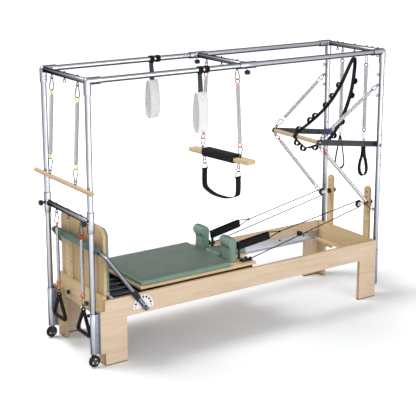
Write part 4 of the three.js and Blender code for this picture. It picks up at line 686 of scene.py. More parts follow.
def knob(piece, at, out, radius=20, length=30, neck=12):
    """Lobed clamp knob on a threaded neck."""
    at, out = Vector(at), Vector(out).normalized()
    piece.put(rod(at - out * 4, at + out * (neck + 2), 5, 16), "chrome")
    shape = [(0, 0.55), (2, 0.62), (4, 0.9), (6, 0.96), (length * 0.8, 0.96), (length * 0.94, 0.84),
             (length, 0.6)]
    shape = [(s, share * radius) for s, share in shape]
    piece.put(turned(at + out * neck, out, shape, section=lobed(1, 0.07, 48)), "plastic")


def eyelet(piece, at, stem_to):
    """Ring eyelet whose hole runs along y, with a shouldered stem."""
    at, stem_to = Vector(at), Vector(stem_to)
    out = (stem_to - at).normalized()
    piece.put(hoop(at, ALONG_Y, 9.5, 3, 10, 24), "zinc")
    piece.put(turned(at + out * 10.5, out, [(0, 3.4), (1.5, 4), (3, 5.6), (4.5, 6.4), (6, 6.4), (6.4, 4),
                                            ((stem_to - at).length - 10.5, 4)], 16), "zinc")


# Floor, background and lamps

floor_mesh = bpy.data.meshes.new("floor")
floor_mesh.from_pydata([(-30, -30, 0), (30, -30, 0), (30, 30, 0), (-30, 30, 0)], [], [(0, 1, 2, 3)])
floor = bpy.data.objects.new("floor", floor_mesh)
scene.collection.objects.link(floor)
look = Shader("pale_floor", (0.72, 0.72, 0.73, 1), 0.9, Specular_IOR_Level=0.0)
spread = look.node("VectorMath", {0: look.coords()}, operation="LENGTH")
far = look.node("MapRange", {"Value": spread.outputs["Value"], "From Min": 0.9, "From Max": 3.2,
                             "To Min": 0.02, "To Max": 0.8}, interpolation_type="SMOOTHSTEP")
glow = look.node("Emission", {"Color": WHITE, "Strength": far.outputs["Result"]})
paper = look.node("BsdfDiffuse", {"Color": (1.1, 1.12, 1.135, 1)})
both = look.node("AddShader", {0: paper.outputs[0], 1: glow.outputs[0]})
either = look.node("MixShader", {0: look.background_rays(), 1: look.bsdf.outputs[0], 2: both.outputs[0]})
look.join(either.outputs[0], look.tree.nodes["Material Output"].inputs["Surface"])
floor_mesh.materials.append(look.material)
floor.location.z = -0.0012

world = bpy.data.worlds.new("studio")
scene.world = world
world.use_nodes = True
sky = Nodes(world.node_tree)
background = sky.tree.nodes["Background"].inputs
sky.join(sky.mix(sky.background_rays(), (0.3, 0.3, 0.31, 1), WHITE), background["Color"])
background["Strength"].default_value = 1.0


def lamp(name, at, size, power):
    target = (0.1, 0, 0.9)
    data = bpy.data.lights.new(name, "AREA")
    data.shape = "RECTANGLE"
    data.size, data.size_y = size
    data.energy = power
    obj = bpy.data.objects.new(name, data)
    scene.collection.objects.link(obj)
    obj.location = at
    obj.rotation_euler = (Vector(target) - Vector(at)).to_track_quat("-Z", "Y").to_euler()


lamp("key", (0.8, -7.4, 2.3), (7.0, 4.4), 320)
lamp("fill", (-5.0, -5.4, 1.8), (5.0, 3.6), 50)
lamp("top", (-3.7, 2.8, 7.3), (3.8, 3.6), 450)


# Ropes

BLEND_START = place((1222, 0, 600))
BLEND_END = place((2285, 0, 700))


def rope_route(side):
    wrap = arc(*PULLEY, 28.6, -90, 120, 7)
    return ([(1274.175, side * CLEAT_Y, 489.5)] + [(x, side * ROPE_Y, z) for x, z in wrap]
            + [(1575.3, side * 195, 632)])


for side, word in SIDES:
    points = rope_route(side)
    route = between(points, 12)
    strands = lobed(ROPE_R, 0.06, 18)
    verts, faces, uvs = sweep(route, strands)
    for i, centre in enumerate(route):
        lay = (route[min(i + 1, len(route) - 1)] - route[max(i - 1, 0)]).normalized()
        turn = Matrix.Rotation(i * 0.5, 3, lay)
        for k in range(i * len(strands), (i + 1) * len(strands)):
            verts[k] = centre + turn @ (verts[k] - centre)
    rope = Piece(f"pulley_rope_{word}").put((verts, faces, uvs), "rope").blended(
        "carriage", "base", BLEND_START, BLEND_END, f"rope_{word}", "webbing", 60)


# Tower

def cross_tube(name, x, z):
    return Piece(name).put(rod((x, -POST_Y, z), (x, POST_Y, z), TUBE_R, 40), "tube")


def weld(piece, x, side, z):
    piece.put(hoop((x, side * (POST_Y - 23.5), z), ALONG_Y, 20.2, 2.6, 8, 32), "tube")


def fittings(piece, x, towards, side):
    """Corner sleeve with its rims, set screws and weld."""
    y = side * POST_Y
    for start, out, length in (((x, y, RAIL_Z - 88), UP, 88),
                               ((x + towards * 94, y, RAIL_Z), (-towards, 0, 0), 94)):
        piece.put(turned(start, out, [(0, 22.5), (1.5, SLEEVE_R), (length, SLEEVE_R)], 36), "tube")
    ball = [(-SLEEVE_R * math.cos(math.radians(t)), max(0.2, SLEEVE_R * math.sin(math.radians(t))))
            for t in range(0, 181, 12)]
    piece.put(turned((x, y, RAIL_Z), (0, -side, 0), ball, 36), "tube")
    weld(piece, x, side, RAIL_Z)
    for z in (RAIL_Z - 70, RAIL_Z - 45):
        bolt(piece, (x, y - side * SLEEVE_R, z), (0, -side, 0), 4, 2, "plastic")
    for reach in (45, 75):
        bolt(piece, (x + towards * reach, y, RAIL_Z - SLEEVE_R), DOWN, 4, 2, "plastic")


def tube_eyes(piece, x, z, places):
    for y in places:
        eyelet(piece, (x, y, z - EYE_DROP), (x, y, z - 14))
        nut(piece, (x, y, z + 18.4), UP, 7.5, 6)


for name, x, towards, eyes in (("foot", FOOT_X, 1, (ROLL_Y, 0, -ROLL_Y)),
                               ("head", HEAD_X, -1, (199, LOOP_Y, 0, -LOOP_Y, -198, -260))):
    piece = cross_tube(f"{name}_crossbar_tube", x, RAIL_Z)
    for side, _ in SIDES:
        fittings(piece, x, towards, side)
    tube_eyes(piece, x, RAIL_Z, eyes)
    piece.done("base", [f"{name}_crossbar"], "steel_tube")

for side, word in SIDES:
    y = side * POST_Y
    piece = Piece(f"rail_tube_{word}")
    piece.put(rod((FOOT_X + 24, y, RAIL_Z), (HEAD_X - 24, y, RAIL_Z), TUBE_R, 40), "tube")
    piece.done("base", [f"top_rail_{word}"], "steel_tube")


def post(end, word, side, x, face, towards):
    """Post with its plug, and the U-shaped, bolted bracket that holds it to the bed."""
    y = side * POST_Y
    low, high = SADDLE
    back = face - towards * 5
    piece = Piece(f"{end}_post_{word}")
    piece.put(rod((x, y, 96), (x, y, RAIL_Z - 24), TUBE_R, 40), "tube")
    piece.put(rod((x, y, 93.5), (x, y, 99), TUBE_R - 0.4, 32, 2), "plastic")
    piece.put(block((face, y - 33, low), (back, y + 33, high), 1.2), "bracket")
    piece.put(rod((x, y, low), (x, y, high), 22.4, 40, 1.5), "tube")
    for hand in HANDS:
        far = y + hand * 24
        piece.put(block((x, y + hand * 18, low), (face, far, high), 1.2), "bracket")
        for z in (112, 232, 352):
            bolt(piece, (x + towards * 15, far, z), (0, hand, 0), 6.5, 4)
        for z in (130, 334):
            bolt(piece, (back, y + hand * 27, z), (-towards, 0, 0), 4, 3)
    return piece


for side, word in SIDES:
    y = side * POST_Y
    out = (0, side, 0)
    piece = post("foot", word, side, FOOT_X, -EAR - GAP, 1)
    inner, outer = side * (WHEEL_Y - 16.6), side * (WHEEL_Y + 12.6)
    fork = rounded(FOOT_X - 14, 27, FOOT_X + 14, 112, 10, 5)
    piece.put(slab(fork, "y", inner, inner + side * 4, 0.8), "black")
    piece.put(rod((FOOT_X, inner, AXLE_Z), (FOOT_X, outer, AXLE_Z), 5, 20), "chrome")
    piece.put(turned((FOOT_X, outer, AXLE_Z), out, [(0, 8), (2.5, 8), (3.6, 7), (4, 4), (3, 3.4)], 24), "clip")
    nut(piece, (FOOT_X, inner, AXLE_Z), (0, -side, 0), 8, 5)
    piece.done("base", [f"post_foot_{word}"], "steel_tube")

    piece = post("head", word, side, HEAD_X, BED_LENGTH + GAP, -1)
    for z in (1750, 1671, 1592, 698):
        eyelet(piece, (POST_EYE_X, y, z), (HEAD_X - 14, y, z))
        collar(piece, (HEAD_X + 18.6, y, z), ALONG_X, 7, 2.6, 20)
        nut(piece, (HEAD_X + 20.5, y, z), ALONG_X, 6.5, 5)
    # Holes in the post: rims whose near-black inside is painted shade.
    for z in (1284, 1126, 1047):
        for hand in HANDS:
            piece.put(turned((HEAD_X, y + hand * (TUBE_R - 1), z), (0, hand, 0),
                             [(0, 6.2), (1.6, 7.4), (1.9, 6.4), (0.6, 6.2)], 20), "dark")
    pivot = (HEAD_X, y + side * (TUBE_R - 1), PUSH_Z)
    piece.put(turned(pivot, out, [(0, 12), (2, 12), (3, 11), (3, 8.5), (9, 8), (10, 6)],
                     section=circle(1, 6)), "plastic")
    piece.put(turned(pivot, out, [(0, 14), (2.4, 14), (3, 12)]), "plastic")
    piece.done("base", [f"post_head_{word}"], "steel_tube")


def clamp(piece, at, along, out, side):
    """Sliding sleeve with its end rims, weld and knob."""
    at, along, out = Vector(at), Vector(along), Vector(out)
    piece.put(rod(at - along * 70, at + along * 70, SLEEVE_R, 40, 2), "tube")
    for hand in HANDS:
        piece.put(turned(at + along * (hand * 70), along * hand, [(-2, 23.4), (0.6, 22.8), (1.2, 20)], 36),
                  "plastic")
    weld(piece, at.x, side, at.z)
    piece.put(turned(at + out * 22, out, [(0, 11), (6, 11), (7, 9)], 24), "tube")
    knob(piece, at + out * SLEEVE_R, out)


for name, x, z, along, out, eyes in (("mid", MID_X, RAIL_Z, ALONG_X, DOWN, (189, 0, -189)),
                                     ("lower", FOOT_X, LOWER_Z, UP, (-1, 0, 0), (LEG_Y, 0, -LEG_Y))):
    piece = cross_tube(f"{name}_crossbar_tube", x, z)
    for side, _ in SIDES:
        clamp(piece, (x, side * POST_Y, z), along, out, side)
    tube_eyes(piece, x, z, eyes)
    piece.done(f"{name}_crossbar", [f"{name}_crossbar"], "steel_tube")

for side, word in SIDES:
    y = side * WHEEL_Y
    piece = Piece(f"castor_{word}")
    half = [(0, 26), (1, 33), (3, 37.5), (6, 40), (9, 40.7)]
    tyre = half + [(24 - s, r) for s, r in half[::-1]]
    piece.put(turned((FOOT_X, y - 12, AXLE_Z), ALONG_Y, tyre, 48), "rubber")
    for hand in HANDS:
        dish = [(-1, 25), (0.6, 25), (0.8, 24), (0.3, 12), (0.8, 11), (0.8, 7)]
        piece.put(turned((FOOT_X, y + hand * 12, AXLE_Z), (0, hand, 0), dish, 40), "clip")
        for k in range(6):
            a = math.radians(60 * k + 20)
            spot = (FOOT_X + 18 * math.cos(a), y + hand * 11, AXLE_Z + 18 * math.sin(a))
            piece.put(turned(spot, (0, hand, 0), [(0, 4.8), (1.9, 4.8), (2.1, 4)], 16),
                      "white" if k % 2 else "dark")
    piece.done(f"wheel_{word}", [f"wheel_{word}"], "rubber")


# Bed

def recast(node, pick, bevel):
    """A carried-over CAD shape with eased edges, its faces given finishes by place and heading."""
    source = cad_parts[node]
    mesh = source.data.copy()
    mesh.transform(source.matrix_world)
    solid = bmesh.new()
    solid.from_mesh(mesh)
    bmesh.ops.remove_doubles(solid, verts=solid.verts, dist=0.00002)
    bmesh.ops.dissolve_limit(solid, angle_limit=math.radians(1), verts=solid.verts, edges=solid.edges)
    edges = [e for e in solid.edges if len(e.link_faces) == 2 and e.calc_face_angle(0) > math.radians(35)]
    bmesh.ops.bevel(solid, geom=edges, offset=bevel / 1000, segments=2, profile=0.6, affect="EDGES",
                    clamp_overlap=True)
    finishes = []
    for face in solid.faces:
        centre = face.calc_center_median() * 1000
        finish = pick(centre.x + SHIFT, centre.y, centre.z, face.normal)
        if finish not in finishes:
            finishes.append(finish)
        face.material_index = finishes.index(finish)
    mesh.materials.clear()
    for finish in finishes:
        mesh.materials.append(finish_of(finish))
    solid.to_mesh(mesh)
    solid.free()
    mesh.shade_smooth()
    mesh.set_sharp_from_angle(angle=math.radians(32))
    obj = bpy.data.objects.new(f"{node}_made", mesh)
    scene.collection.objects.link(obj)
    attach(obj, "base")
    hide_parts(node)


# The panels' edges take the darker ply tone, partly painted shade.
def panel_wood(x, y, z, normal):
    return "ply" if abs(normal.y) < 0.5 else "wood_x"


# The end frames' faces take the darker, yellower birch and ply copies: painted shade.
def end_wood(x, y, z, normal):
    if x > BED_LENGTH and z < 870 and abs(y) > 180:
        return "ply_x" if abs(normal.x) < 0.5 else "wood_z"
    return "ply_x" if abs(normal.x) < 0.5 and abs(normal.z) > 0.5 else "wood_y"


def track_finish(x, y, z, normal):
    if z > 372 and (280 < x < 340 or x > 2140) and abs(y) > 240:
        return "plastic"
    return "wood_y" if x > 2300 and abs(y) < 270 else "track"


for side, word in SIDES:
    recast(f"side_panel_{word}", panel_wood, 2.0)
recast("foot_end_frame", end_wood, 1.6)
recast("head_end_frame", end_wood, 1.6)
recast("track_frame", track_finish, 1.0)

piece = Piece("track_screws")
for side, _ in SIDES:
    for x in (420, 900, 1380, 1970, 2216):
        bolt(piece, (x, side * (PANEL_INNER - GAP - 5), 358), (0, -side, 0), 9, 2.5, "plastic")
piece.done("base")

piece = Piece("feet")
for depth, near, far in ((LEG, HALF + 0.8, HALF - 30), (LEDGE, 247.5, 318)):
    for x in (0, BED_LENGTH - depth):
        for side, _ in SIDES:
            foot = rounded(x - 0.8, side * near, x + depth + 0.8, side * far, 4, 4)
            piece.put(slab(foot, "z", 0, 5, 1), "rubber")
piece.done("base")

piece = Piece("end_knobs")
for side, _ in SIDES:
    knob(piece, (0, 20 + side * 135, 374), (-1, 0, 0), 17, 16, 6)
knob(piece, (0, -133, 290), (-1, 0, 0), 13, 14, 4)
piece.done("base")

piece = Piece("risers_hardware")
for side, _ in SIDES:
    for z in (290, 340, 420):
        for y in (-18, 18):
            bolt(piece, (HEAD_FACE, side * ROPE_Y + y, z), ALONG_X, 4.5, 2.5)
    knob(piece, (HEAD_FACE, side * ROPE_Y, PULLEY[1]), ALONG_X, 19, 20, 14)
    for z in (775, 818):
        bore(piece, (2399.4, side * ROPE_Y, z), (-1, 0, 0))
piece.done("base")

for side, word in SIDES:
    y = side * ROPE_Y
    x, z = PULLEY
    piece = Piece(f"pulley_block_{word}")
    half = [(8, 12), (8, 27), (6.5, 28), (5.5, 28), (3.2, 24.8)]
    piece.put(turned((x, y, z), ALONG_Y, [(-s, r) for s, r in half] + [(0, 23.6)] + half[::-1], 44), "plastic")
    piece.put(rod((x, y - 12.5, z), (x, y + 12.5, z), 6, 20), "chrome")
    for hand in HANDS:
        far = y + hand * 11.4
        cheek = [(x + 47.6, z - 12), (x + 47.6, z + 12)] + arc(x, z, 14, 90, 270, 12)
        piece.put(slab(cheek, "y", y + hand * 8.4, far, 0.7), "white")
        bolt(piece, (x, far, z), (0, hand, 0), 7, 3.5)
    piece.put(block((x + 42, y - 11.4, z - 12), (x + 47.6, y + 11.4, z + 12), 0.8), "white")
    piece.put(rod((x + 44, y, z), (2399, y, z), 5, 20), "chrome")
    flange = [(0, 19), (3, 21), (14, 21), (16, 19.5), (18, 12)]
    piece.put(turned((2399.4, y, z), (-1, 0, 0), flange, 40), "plastic")
    piece.done("base", [f"pulley_{word}"], "black_plastic")


# Jump board and foot bar

def jump_outline(low, grow=0.0):
    half, top, r = 304 + grow, 934 + grow, 60
    return ([(-half, low), (half, low)] + arc(half - r, top - r, r, 0, 90, 10)
            + arc(-half + r, top - r, r, 90, 180, 10))


piece = Piece("jump_board_wood")
piece.put(slab(jump_outline(477.6), "x", 19, 42, 2.5), "wood_jump")
for side, _ in SIDES:
    y = side * 170
    piece.put(block((8, y - 46, 477.6), (19.4, y + 46, 740), 2), "wood_z")
    piece.put(block((27.3, y - 46, 407), (41.3, y + 46, 478.5), 2), "wood_z")
    for z in (505, 600, 715):
        for shift in (-30, 30):
            bolt(piece, (8, y + shift, z), (-1, 0, 0), 4, 1.6)
for y, z in ((286, 505), (286, 700), (262, 905)):
    for side, _ in SIDES:
        bolt(piece, (19, side * y, z), (-1, 0, 0), 4, 1.6)
piece.done("jump_board", ["jump_board"], "birch")

piece = Piece("footbar_tube")
away = Vector((PIVOT_X - FOOTBAR_X, 0, PIVOT_Z - FOOTBAR_Z)).normalized()
tail = Vector((PIVOT_X, 0, PIVOT_Z)) + away * 32
corners = [(tail.x, -ARM_Y, tail.z), (FOOTBAR_X, -ARM_Y, FOOTBAR_Z), (FOOTBAR_X, ARM_Y, FOOTBAR_Z),
           (tail.x, ARM_Y, tail.z)]
piece.put(sweep(bent(corners, 46, 12), circle(15, 28)), "arm")
for side, _ in SIDES:
    pivot = Vector((PIVOT_X, side * ARM_Y, PIVOT_Z))
    for reach, length, radius in ((84, 62, 20.5), (82, 3, 22), (144, 4, 22)):
        a = pivot - away * reach
        piece.put(rod(a, a - away * length, radius, 28, 1.5), "plastic")
    piece.put(rod((PIVOT_X, side * 353.4, PIVOT_Z), (PIVOT_X, side * 381, PIVOT_Z), 15, 28, 2), "chrome")
    bolt(piece, (PIVOT_X, side * 381, PIVOT_Z), (0, side, 0), 10, 5, "plastic")
    end = Vector((tail.x, side * ARM_Y, tail.z))
    piece.put(rod(end - away * 4, end + away * 2.5, 15.6, 24, 1.5), "plastic")
    pin = pivot - away * 61
    piece.put(rod(pin, (pin.x, side * 349.5, pin.z), 5.2, 18), "chrome")
piece.done("footbar", ["footbar"], "steel_tube")

piece = Piece("footbar_foam")
ends = [(0, 15), (1.2, 21), (4, 24), (9, 25.2)]
swell = [(9 + 626 * t, 25.2 + 0.5 * math.sin(math.pi * t)) for t in (k / 24 for k in range(1, 24))]
swell = ends + swell + [(644 - s, r) for s, r in ends[::-1]]
piece.put(turned((FOOTBAR_X, -322, FOOTBAR_Z), ALONG_Y, swell, 40), "roll")
piece.put(sweep([(FOOTBAR_X, y, FOOTBAR_Z - 25.6) for y in range(-312, 313, 8)], circle(1.3, 8)), "piping")
for side, _ in SIDES:
    piece.put(hoop((FOOTBAR_X, side * 314, FOOTBAR_Z), ALONG_Y, 24.6, 1.4, 8, 40), "piping")
roll = piece.done("footbar", ["footbar_pad"], "vinyl")

for side, word in SIDES:
    holes = arc(PIVOT_X, PIVOT_Z, 60, 14, 164, 6)
    piece = Piece(f"fan_plate_{word}")
    piece.put(slab(arc(PIVOT_X, 366, 80, -14, 188, 40), "y", side * (HALF + GAP), side * (HALF + 5), 0.9,
                   [arc(x, z, 8, 0, 345, 15) for x, z in holes]), "white")
    # Near-black plugs in the plate's holes: painted shade where the holes would show the panel behind.
    for x, z in holes:
        plug = [(0, 7.9), (1.8, 7.9), (2.2, 6)]
        piece.put(turned((x, side * (HALF + 0.2), z), (0, side, 0), plug, 20), "dark")
    for x, z in ((226, 366), (352, 366), (290, 424)):
        bolt(piece, (x, side * 352.4, z), (0, side, 0), 5, 2.5)
    piece.done("base", [f"footbar_plate_{word}"], "white_metal")


# Stuffed pieces

SWELL_FRAMES = 20
SWELL = {"quality": 4, "mass": 0.3, "use_pressure": True, "uniform_pressure_force": 4.0,
         "tension_stiffness": 15, "compression_stiffness": 15, "bending_stiffness": 0.6,
         "vertex_group_mass": "resting"}


def freeze(obj):
    """The object's mesh becomes what its modifiers show."""
    shown = obj.evaluated_get(bpy.context.evaluated_depsgraph_get())
    mesh = bpy.data.meshes.new_from_object(shown)
    obj.modifiers.clear()
    obj.data = mesh


def stuffed(name, shape, voxel, cap, rest, body, node):
    """A padded shape, blown up a little as cloth over foam, flat where it rests at an axis's level."""
    obj = Piece(name).put(shape, "vinyl").mesh()
    remesh = obj.modifiers.new("fine", "REMESH")
    remesh.mode = "VOXEL"
    remesh.voxel_size = voxel / 1000
    freeze(obj)
    before = [v.co.copy() for v in obj.data.vertices]
    axis, level = rest
    level = (level - (0 if axis else SHIFT)) / 1000
    resting = [i for i, co in enumerate(before) if co[axis] - level < 0.0025]
    group = obj.vertex_groups.new(name="resting")
    group.add(resting, 1.0, "REPLACE")
    cloth = obj.modifiers.new("swell", "CLOTH")
    for key, value in SWELL.items():
        setattr(cloth.settings, key, value)
    cloth.settings.effector_weights.gravity = 0
    cloth.point_cache.frame_start, cloth.point_cache.frame_end = 1, SWELL_FRAMES
    for number in range(1, SWELL_FRAMES + 1):
        scene.frame_set(number)
    freeze(obj)
    scene.frame_set(1)
    for vertex, start in zip(obj.data.vertices, before):
        moved = vertex.co - start
        if moved.length > cap / 1000:
            vertex.co = start + moved.normalized() * (cap / 1000)
    for i in resting:
        obj.data.vertices[i].co[axis] = level
    even = obj.modifiers.new("even", "SMOOTH")
    even.factor, even.iterations = 0.5, 2
    finer = obj.modifiers.new("finer", "SUBSURF")
    finer.levels = finer.render_levels = 1
    freeze(obj)
    obj.data.shade_smooth()
    obj.data.materials.clear()
    obj.data.materials.append(finish_of("vinyl"))
    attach(obj, body)
    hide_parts(node)
    return obj


def welt(name, cushion, path, body):
    """Piping that lies on a cushion's surface."""
    line = []
    for point in path:
        _, spot, normal, _ = cushion.closest_point_on_mesh(place(point))
        spot = spot + normal * 0.0004
        line.append((spot.x * 1000 + SHIFT, spot.y * 1000, spot.z * 1000))
    for _ in range(3):
        line = [tuple((a + 2 * b + c) / 4 for a, b, c in zip(line[k - 1], line[k], line[(k + 1) % len(line)]))
                for k in range(len(line))]
    Piece(name).put(sweep(line, circle(1.5, 8), closed=True), "piping").done(body, slot="vinyl")


def welts(name, cushion, outline, axis, levels, body):
    for level, word in levels:
        corners = [AXES[axis](a, b, level) for a, b in outline]
        welt(f"{name}_welt_{word}", cushion, between(corners + [corners[0]], 8)[:-1], body)


# Carriage

piece = Piece("carriage_board")
x0, x1 = CARRIAGE
x2 = x1 + 73
board = [(x0, -304), (x1, -304), (x1, -96), (x2, -96), (x2, 96), (x1, 96), (x1, 304), (x0, 304)]
piece.put(slab(board, "z", 463, CARRIAGE_TOP, 2), "wood_xy")
for side, word in SIDES:
    y = side * 292
    # Painted shade: a black strip under the board's long edges, put where the gap above the side panels lies in
    # shadow.
    piece.put(block((x0 + 14, side * 300, 440), (x1 - 122, side * 268, 463.2), 1), "plastic")
    for start in (x0 + 30, x1 - 180):
        piece.put(block((start, y - 8, 317.3), (start + 150, y + 8, 463.2), 2), "plastic")
        for shift in (32, 118):
            hub = (start + shift, y - side * 14, 345)
            half = [(0, 5), (0, 20), (2, 24), (5, 25)]
            piece.put(turned(hub, (0, side, 0), half + [(10, 25), (13, 24), (14, 20), (14, 5)], 32), "white")
            bolt(piece, hub, (0, -side, 0), 6, 3)
    post_foot = Vector((ROPE_POST_X, side * REST_Y, CARRIAGE_TOP))
    shape = [(0, 17), (3, 17), (4, 11.5), (9, 10), (118, 10), (122, 9.4), (125, 7.5), (126, 3)]
    piece.put(turned(post_foot, UP, shape, 28), "black")
    for a in (45, 135, 225, 315):
        reach = Vector((math.cos(math.radians(a)), math.sin(math.radians(a)), 0)) * 13.4
        bolt(piece, post_foot + Vector((0, 0, 2.8)) + reach, UP, 2.2, 1.2)
    y = side * CLEAT_Y
    plate = rounded(1178, y - 26, 1272, y + 26, 9, 5)
    piece.put(slab(plate, "z", CARRIAGE_TOP, CARRIAGE_TOP + 5, 0.8), "plastic")
    for hand in HANDS:
        x, lobe_y = 1246 - hand * 11, y + hand * 12.4
        lobe = [(0, 13), (3, 13.6), (10, 11), (15, 12.6), (19, 11), (20, 5)]
        piece.put(turned((x, lobe_y, CARRIAGE_TOP + 4), UP, lobe, 32), "plastic")
        bolt(piece, (x, lobe_y, CARRIAGE_TOP + 23.4), UP, 4.4, 2)
    stub = [(0, 12), (12, 11), (16, 9), (17, 5)]
    piece.put(turned((1194, y - side * 6, CARRIAGE_TOP), UP, stub, 28), "plastic")
    pin = [(0, 7), (2, 7), (3, 4), (26, 4), (28, 6), (31, 6), (33, 3)]
    piece.put(turned((1205, y + side * 14, CARRIAGE_TOP), UP, pin, 20), "clip")
    for start, stop, radius in ((1262, 1274.4, 4.2), (1244, 1262, 3.6)):
        piece.put(rod((start, y, CARRIAGE_TOP + 7.4), (stop, y, CARRIAGE_TOP + 7.4), radius, 20), "rope")
    for x in (x0 + 60, x0 + 400, x1 - 190):
        bolt(piece, (x, side * 296, CARRIAGE_TOP - 0.4), UP, 3.6, 1)
piece.done("carriage", ["carriage_base"], "birch")

RESTING = (2, CUSHION[0])
LEVELS = ((512, "upper"), (487, "lower"))
pad = stuffed("carriage_cushion", slab(rounded(304, -300, 1069, 300, 30), "z", *CUSHION, 7), 7, 4, RESTING,
              "carriage", "carriage_pad")
welts("carriage_cushion", pad, rounded(300, -305, 1073, 305, 34), "z", LEVELS, "carriage")
pad = stuffed("headrest_cushion", slab(rounded(1080, -93.5, 1342.5, 93.5, 28), "z", *CUSHION, 7), 6, 4, RESTING,
              "headrest", "headrest")
welts("headrest", pad, rounded(1077, -97, 1346, 97, 32), "z", LEVELS, "headrest")

# Shoulder rest seen from the side: a neck with a cap that swells towards the foot end
bottom, top = CUSHION[0], 672
back, front = REST_X + 36, REST_X - 24
rest_profile = ([(front + 3, bottom + 0.2), (back - 3, bottom + 0.2), (back - 2, bottom + 60)]
                + arc(back - 42, top - 42, 39.5, 0, 200, 14) + [(front - 5, 600), (front + 2, 588)])

for side, word in SIDES:
    y = side * REST_Y
    body = f"shoulder_rest_{word}"
    rest = stuffed(f"shoulder_rest_cushion_{word}", slab(rest_profile, "y", y - 60, y + 60, 9), 5, 5, RESTING,
                   body, body)
    for hand in HANDS:
        path = [Vector((a, y + hand * 60, b)) for a, b in rest_profile]
        path = [p + Vector((0, hand * 2, 0)) for p in between(path + [path[0]], 7)[:-1]]
        welt(f"shoulder_rest_welt_{word}_{'outer' if hand == side else 'inner'}", rest, path, body)
    piece = Piece(f"shoulder_rest_base_{word}")
    piece.put(slab(rounded(REST_X - 26, y - 52, REST_X + 34, y + 52, 10, 5), "z", 482.1, 485, 0.8), "plastic")
    piece.put(rod((REST_X, y, 463.3), (REST_X, y, 484), 9, 24), "chrome")
    piece.done(body)

pad = stuffed("jump_cushion", slab(jump_outline(486, -4), "x", 42.3, 69, 7), 7, 4, (0, 42.3), "jump_board",
              "jump_pad")
welts("jump_cushion", pad, jump_outline(482.5, 0.5), "x", ((65, "face"), (47, "back")), "jump_board")


# Springs

def mirrored(half):
    """Closed outline from its one half, given as lengths and widths."""
    return half + [(1, 0)] + [(s, -u) for s, u in half[1:][::-1]]


COIL_WIRE, COIL_FACETS = 1.7, 11
CLASP = mirrored([(0, 0), (0.03, 0.3), (0.12, 0.42), (0.4, 0.66), (0.68, 0.96), (0.84, 1), (0.96, 0.6)])
LINK = mirrored([(0, 0), (0.05, 0.5), (0.3, 1), (0.7, 1), (0.95, 0.5)])


def clasp(piece, at, length):
    """Pear-shaped carabiner, wide at its far end, with a gate."""
    path = smooth([at(s * length, u * 15.5, 0) for s, u in CLASP], 5, closed=True)
    piece.put(sweep(path, circle(3.1, 9), closed=True), "clip")
    a, b = at(length * 0.3, 9.4, 0), at(length * 0.62, 14, 0)
    piece.put(rod(a, a.lerp(b, 0.45), 3.7, 6, 0.8), "clip")
    piece.put(rod(a, b, 3, 16, 0.6), "clip")


def coil_spring(piece, eye_a, eye_b, top, foot, ring, finish="spring", radius=12.6, clasps=(True, True),
                open_ring=(True, True)):
    """Close-wound tension spring between two eyelets, with a clasp or link and a sleeved ring at each end."""
    a, b = Vector(eye_a), Vector(eye_b)
    along = (b - a).normalized()
    start = a + along * EYE_SEAT
    length = (b - a).length - 2 * EYE_SEAT
    across = Vector(ALONG_Y)
    across = (across - along * across.dot(along)).normalized()
    normal = along.cross(across)

    def turned_by(degrees):
        c, d = math.cos(math.radians(degrees)), math.sin(math.radians(degrees))
        return lambda s, u, v: start + along * s + across * (u * c - v * d) + normal * (u * d + v * c)

    flat, edge = turned_by(-45), turned_by(45)
    for reach, origin, hand, clasped, opened in ((top, 0, 1, clasps[0], open_ring[0]),
                                                 (foot, length, -1, clasps[1], open_ring[1])):
        size = 34 if clasped else 26
        near = origin + hand * reach
        span = reach - size + 4.6
        if clasped:
            clasp(piece, lambda s, u, v: flat(origin + hand * s, u, v), span)
        else:
            link = smooth([flat(origin + hand * s * span, u * 8, 0) for s, u in LINK], 5, closed=True)
            piece.put(sweep(link, circle(2.3, 8), closed=True), "clip")
        at = flat if opened else edge
        oval = [at(near - hand * (size / 2 + 0.5 - size / 2 * math.cos(t)), 13.5 * math.sin(t), 0)
                for t in angles(30)]
        piece.put(sweep(oval, circle(3.5, 9), closed=True), ring)
        plug = [(0, 2), (1, 5), (3, 8), (6, radius - 1)]
        piece.put(turned(at(near - hand * 4, 0, 0), along * hand, plug, 18), finish)
    coil = length - top - foot
    steps = round(coil / (2 * COIL_WIRE + 0.3)) * COIL_FACETS
    path = []
    for i in range(steps + 1):
        angle = 2 * math.pi * i / COIL_FACETS
        to_end = min(i, steps - i) / COIL_FACETS
        size = radius * min(1, 0.55 + 0.45 * math.sqrt(min(1, to_end / 3)))
        path.append(flat(top + coil * i / steps, size * math.cos(angle), size * math.sin(angle)))
    piece.put(sweep(path, circle(COIL_WIRE, 5)), finish)


